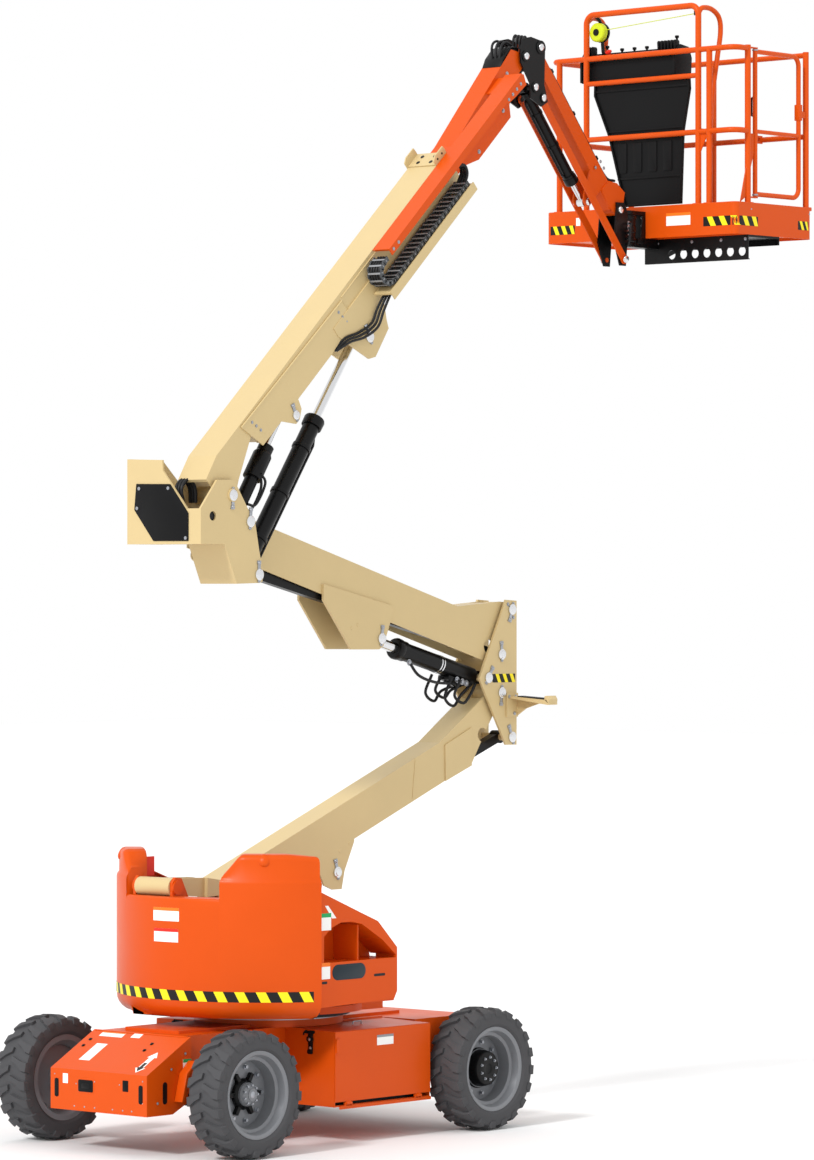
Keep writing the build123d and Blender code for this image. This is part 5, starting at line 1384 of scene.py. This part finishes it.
# ---------------------------------------------------------------- platform
@dataclass
class Platform:
    """Control console, signs, reel, brackets and the latch of the work platform."""

    places: Places
    middle: float = -115.0
    half: float = 760.0
    rear_x: float = 3261.0
    front_x: float = 4040.0

    def build(self) -> None:
        """Dress the platform."""
        self.console()
        self.toe_boards()
        self.posts()
        self.reel()
        self.bows()
        self.latch()
        self.support()

    def console(self) -> None:
        """Console: lid seam, guards over the levers, joysticks, red button and the seams of the hanging panel."""
        at = self.places.at
        x0 = self.rear_x + 60
        near, far, deep = -345, 392, 150
        x1 = x0 + deep
        box = Shape("console_lid", POLYETHYLENE)
        box.prism([at(x, near - 8, z) for x, z in ((x0 - 8, 6452), (x0 + 38, 6500), (x0 + 42, 6512), (x1 - 18, 6502),
                                                   (x1 + 8, 6448), (x1 + 2, 6440),
                                                   (x1 - 22, 6490), (x0 + 42, 6498), (x0 - 2, 6446))],
                                                   Vector((0, (far - near + 16) * MM, 0)))
        box.prism([at(x, near - 6, z) for x, z in ((x0 - 6, 6326), (x0 - 6, 6346), (x1 + 2, 6346), (x1 + 2, 6326))],
                  Vector((0, (far - near + 12) * MM, 0)))
        for y in (near - 14, far - 4):
            box.prism([at(x, y, z) for x, z in ((x0 - 12, 6330), (x0 - 12, 6470), (x0 + 24, 6520), (x0 + 50, 6530),
                                                (x1 - 16, 6518), (x1 + 12, 6450), (x1 + 4, 6330))],
                      Vector((0, 18 * MM, 0)))
        for y, count in ((near - 4, 6), (far - 80, 3)):
            for k in range(count):
                foot = y + 26 * k
                box.prism([at(x0 + 4, foot + dy, 6486 + dz) for dy,
                           dz in ((0, 0), (12, 0), (16, 60), (8, 72), (0, 60))], Vector((46 * MM, 0, 0)))
        box.done("platform", bevel_mm=4)
        levers = Shape("console_levers", POLYETHYLENE)
        for y, high in ((-300, 96), (-160, 46), (-60, 46), (40, 46), (140, 46), (260, 70)):
            levers.turned(((0, 26), (8, 24), (14, 8), (high - 18, 7), (high - 14, 13), (high - 2, 13), (high, 8),
                           (high, 0.4)),
                         at(x0 + 84, y, 6494), (0, 0, 1), 20)
        levers.done("platform", bevel_mm=1)
        stop = Shape("console_stop_button", SIGN_RED)
        stop.lathe([(0, 0.014), (0.012, 0.014), (0.013, 0.022), (0.022, 0.021), (0.027, 0.012), (0.028, 0.0003)],
                   at(x0 + 30, 200, 6502), (-0.5, 0, 0.85), 28)
        stop.done("platform", smooth_deg=50)
        switches = Shape("console_switches", SIGN_RED)
        for y in (-240, -120, 60, 180):
            switches.disc(at(x0 + 20, y, 6322), (0, 0, -1), 9 * MM, 12 * MM, 2 * MM, 16)
        switches.done("platform")
        rear = flat_face(at(x0 - 9, 0, 0), (0, -1, 0), (0, 0, 1))
        panel = Shape("console_panel_seams", POLYETHYLENE)
        for z, a, b in ((6258, -286, 480), (6000, -178, 434), (5960, -166, 432), (5700, -96, 420), (5532, -40, 412)):
            panel.stone([(a, z), (b, z), (b, z + 12), (a, z + 12)], rear, 0, 8)
        for a, b in (((-283, 6336), (-286, 6240)), ((-286, 6240), (-170, 5980)), ((-170, 5980), (-40, 5530)),
                     ((475, 6336), (481, 6240)),
                     ((481, 6240), (430, 5980)), ((430, 5980), (412, 5530))):
            shift = 14 if a[0] < 0 else -14
            panel.stone([a, (a[0] + shift, a[1]), (b[0] + shift, b[1]), b], rear, 0, 12)
        for u in (-60, 60, 180, 300):
            panel.stone(rounded_box(70, 190, 12, u - 35, 5740), rear, 0, 5)
        panel.done("platform", bevel_mm=2)

    def toe_boards(self) -> None:
        """Hazard bands round the toe boards and the blank white sign at the rear."""
        at = self.places.at
        rear = flat_face(at(self.rear_x, 0, 0), (0, -1, 0), (0, 0, 1))
        near_y = self.middle - self.half
        near = flat_face(at(0, near_y, 0), (1, 0, 0), (0, 0, 1))
        hazard("toe_hazard_far", "platform", rear, (-606, -408), (5376, 5430), 66, 24)
        sign("toe_sign_small", "platform", rear, (-396, 5426), (34, 50))
        sign("toe_sign", "platform", rear, (330, 5392), (190, 78), SIGN_ORANGE)
        bend = 40.0
        def corner(along: float, up: float, out: float) -> Vector:
            """Rear face, round the near rear corner and on along the near side."""
            edge = -near_y - bend
            if along < edge:
                return at(self.rear_x - out, -along, up)
            arc = bend * math.pi / 2
            if along < edge + arc:
                turn = (along - edge) / bend
                return at(self.rear_x + bend - (bend + out) * math.cos(turn),
                          near_y + bend - (bend + out) * math.sin(turn), up)
            return at(self.rear_x + bend + along - edge - arc, near_y - out, up)
        hazard("toe_hazard_corner", "platform", corner, (622, 1080), (5376, 5434), 92, 30, 4)
        hazard("toe_hazard_front", "platform", near, (3892, 3998), (5377, 5431), 60, 24)
        caps = Shape("toe_board_rim", ORANGE)
        y0, y1 = near_y + 40, self.middle + self.half - 40
        x0, x1 = self.rear_x + 40, self.front_x - 40
        ring = []
        for cx, cy, start in ((x1, y1, 0), (x0, y1, 90), (x0, y0, 180), (x1, y0, 270)):
            ring += [at(cx + 35 * math.cos(math.radians(start + 15 * k)),
                        cy + 35 * math.sin(math.radians(start + 15 * k)), 5517) for k in range(7)]
        caps.tube(ring + ring[:1], 4.5 * MM, 8)
        caps.done("platform")

    def posts(self) -> None:
        """Sockets at the posts' feet, the near post's gusset and the bolts of the bearers."""
        at = self.places.at
        near_y, far_y = self.middle - self.half + 29, self.middle + self.half - 29
        x0, x1 = self.rear_x + 29, self.front_x - 29
        feet = Shape("post_feet", ORANGE)
        for x, y in ((x0, far_y - 60), (x1, far_y - 60), (x1, self.middle), (x0, near_y + 200), (3419, near_y),
                     (x1, near_y), (x0, -560), (x0, 335)):
            feet.block(at(x - 27, y - 27, 5500), at(x + 27, y + 27, 5524))
        feet.prism([at(x, near_y - 4, z) for x, z in ((3432, 5950), (3432, 5700), (3520, 5950))],
                   Vector((0, 8 * MM, 0)))
        feet.prism([at(x, near_y - 4, z) for x, z in ((3405, 5760), (3405, 5560), (3340, 5520))],
                   Vector((0, 8 * MM, 0)))
        feet.prism([at(3290 - 4, y, z) for y, z in ((-560, 5800), (-640, 5960), (-560, 5960))], Vector((8 * MM, 0, 0)))
        feet.done("platform", bevel_mm=3)
        bolts = Shape("post_bolts", ZINC)
        for x in (3419, x1):
            bolts.bolt(at(x, self.middle - self.half + 5, 5480), (0, -1, 0), 7 * MM)
        bolts.done("platform")

    def reel(self) -> None:
        """Lanyard reel under the hoop, with its taut line to the clip on the near bend."""
        at = self.places.at
        x = self.rear_x + 29
        case = Shape("reel_case", LIME)
        case.turned(((-24, 0.4), (-24, 52), (-16, 60), (16, 60), (24, 52), (24, 0.4)), at(x + 30, 262, 6640),
                    (1, 0, 0), 36)
        case.done("platform", bevel_mm=1)
        hook = Shape("reel_fittings", ENAMEL)
        hook.turned(((-30, 0.4), (-30, 22), (30, 22), (30, 0.4)), at(x + 30, 262, 6640), (1, 0, 0), 24)
        hook.turned(((24, 0.4), (24, 62), (40, 62), (40, 0.4)), at(x + 30, 262, 6640), (1, 0, 0), 24)
        hook.tube([at(x + 10, 270, 6738), at(x + 36, 262, 6720), at(x + 50, 256, 6690), at(x + 60, 250, 6520),
                   at(x + 66, 246, 6500)], 11 * MM, 10)
        hook.block(at(x + 10, -548, 6690), at(x + 44, -516, 6724))
        hook.done("platform", bevel_mm=2)
        line = Shape("reel_line", LIME)
        line.tube([at(x + 28, 205, 6652), at(x + 28, -530, 6704)], 2.5 * MM, 8)
        line.done("platform")

    def bows(self) -> None:
        """Two bows that lean forward from the hoop's bends and come down to the mid rail and the top rail."""
        at = self.places.at
        tubes = Shape("hoop_bows", ORANGE)
        x = self.rear_x + 29
        for y, spots in ((-560, ((0, 6700), (40, 6736), (130, 6735), (205, 6690), (222, 6600), (190, 6440),
                                 (140, 6200), (120, 5970))),
                         (335, ((0, 6700), (60, 6738), (150, 6724), (190, 6650), (186, 6560), (170, 6500)))):
            tubes.tube(flowing([at(x + dx, y, z) for dx, z in spots], 7), 16 * MM, 16)
        tubes.tube([at(x, -560, 5975), at(x + 120, -560, 5975)], 14 * MM, 12)
        tubes.done("platform")

    def latch(self) -> None:
        """Gate latch plate with its black handle and the hinge collars of the gate."""
        at = self.places.at
        y = self.middle - self.half + 29
        plate = Shape("gate_latch", ORANGE)
        plate.prism([at(x, y - 20, z) for x, z in ((3918, 6060), (3918, 6160), (3950, 6160), (3950, 6060))],
                    Vector((0, 40 * MM, 0)))
        plate.done("gate", bevel_mm=3)
        grip = Shape("gate_handle", POLYETHYLENE)
        grip.tube(rounded_path([at(3512, y + 6, 6180), at(3512, y + 46, 6170), at(3512, y + 46, 6070),
                                at(3512, y + 6, 6060)], 18 * MM), 9 * MM, 10)
        grip.done("gate")
        rings = Shape("gate_hinge_collars", ZINC)
        for z in (5568, 6462):
            rings.turned(((0, 8.2), (0, 19), (9, 19), (9, 8.2)), at(3492, y, z), (0, 0, 1), 24)
        rings.done("gate")

    def support(self) -> None:
        """Bracket under the deck: bolts, the folded lips and the plate round the mast."""
        at = self.places.at
        bolts = Shape("support_bolts", ZINC)
        for y in (-850, -660, -430, -160):
            bolts.bolt(at(3390, y, 5296), (-1, 0, 0), 7 * MM)
        for z in (5350, 5400, 5450):
            for y in (-45, 45):
                bolts.bolt(at(3243, self.middle + y * 0.8, z), (-1, 0, 0), 7 * MM)
        bolts.done("platform")
        lips = Shape("support_lips", ENAMEL)
        lips.block(at(3391, -869, 5169), at(3410, self.middle + 59, 5175))
        lips.prism([at(x, self.middle - 54, z) for x,
                    z in ((3180, 5286), (3240, 5286), (3240, 5460), (3226, 5460), (3210, 5330), (3180, 5310))],
                    Vector((0, 8 * MM, 0)))
        lips.prism([at(x, self.middle + 46, z) for x,
                    z in ((3180, 5286), (3240, 5286), (3240, 5460), (3226, 5460), (3210, 5330), (3180, 5310))],
                    Vector((0, 8 * MM, 0)))
        lips.done("platform", bevel_mm=2)


# ---------------------------------------------------------------- stage
@dataclass
class Studio:
    """Floor, soft lights and the camera that stands where the picture was taken from."""

    camera_place: tuple[float, float, float] = (-22.55, -19.87, 3.1935)
    camera_azimuth: float = -48.46
    lens_mm: float = 156.32

    def build(self) -> None:
        """Set up the stage."""
        self.camera()
        self.lights()
        self.floor()

    def camera(self) -> None:
        """Level camera with a long lens."""
        data = bpy.data.cameras.new("camera")
        data.lens = self.lens_mm
        data.sensor_width = 36.0
        data.clip_end = 200.0
        made = bpy.data.objects.new("camera", data)
        made.location = self.camera_place
        made.rotation_euler = (math.pi / 2, 0, math.radians(self.camera_azimuth))
        bpy.context.scene.collection.objects.link(made)
        bpy.context.scene.camera = made

    def lights(self) -> None:
        """Pale surroundings and a broad key from the camera's left."""
        world = bpy.data.worlds.new("surroundings")
        bpy.context.scene.world = world
        world.use_nodes = True
        background = world.node_tree.nodes["Background"]
        background.inputs["Color"].default_value = (1.0, 1.0, 1.0, 1.0)
        background.inputs["Strength"].default_value = 1.0
        self.sun("key", 1.9, (52, 0, -84), 9.0)
        bpy.context.scene.view_settings.view_transform = "Standard"

    def sun(self, name: str, power: float, turn_deg: tuple[float, float, float], spread_deg: float) -> None:
        """A broad, far light."""
        data = bpy.data.lights.new(name, "SUN")
        data.energy = power
        data.angle = math.radians(spread_deg)
        made = bpy.data.objects.new(name, data)
        made.rotation_euler = [math.radians(a) for a in turn_deg]
        bpy.context.scene.collection.objects.link(made)

    def floor(self) -> None:
        """Plain pale floor."""
        mesh = bpy.data.meshes.new("floor")
        mesh.from_pydata([(-60, -60, 0), (60, -60, 0), (60, 60, 0), (-60, 60, 0)], [], [(0, 1, 2, 3)])
        made = bpy.data.objects.new("floor", mesh)
        bpy.context.scene.collection.objects.link(made)
        mat = bpy.data.materials.new("pale_floor")
        mat.use_nodes = True
        shader = mat.node_tree.nodes["Principled BSDF"]
        shader.inputs["Base Color"].default_value = (0.86, 0.86, 0.86, 1.0)
        shader.inputs["Roughness"].default_value = 0.9
        mesh.materials.append(mat)


def dress_frame(frame: dict) -> None:
    """Give every CAD node the finish of its slot."""
    slots = {s["node"]: s["material_slot"] for s in frame["record"]["subparts"]}
    for name, node in frame["nodes"].items():
        node.data.materials.clear()
        node.data.materials.append(SLOT_FINISH[slots[name]].material())


def main() -> None:
    """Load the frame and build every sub-assembly."""
    logging.basicConfig(level=logging.INFO, format="%(message)s")
    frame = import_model()
    places = Places(frame)
    dress_frame(frame)
    Studio().build()
    for side in Side:
        for kind in ("steer", "drive"):
            Wheel(places, kind, side).build()
    Chassis(places).build()
    Turntable(places).build()
    for group in (Tower, MainBoom, Jib, Platform):
        group(places).build()


if __name__ == "__main__":
    main()
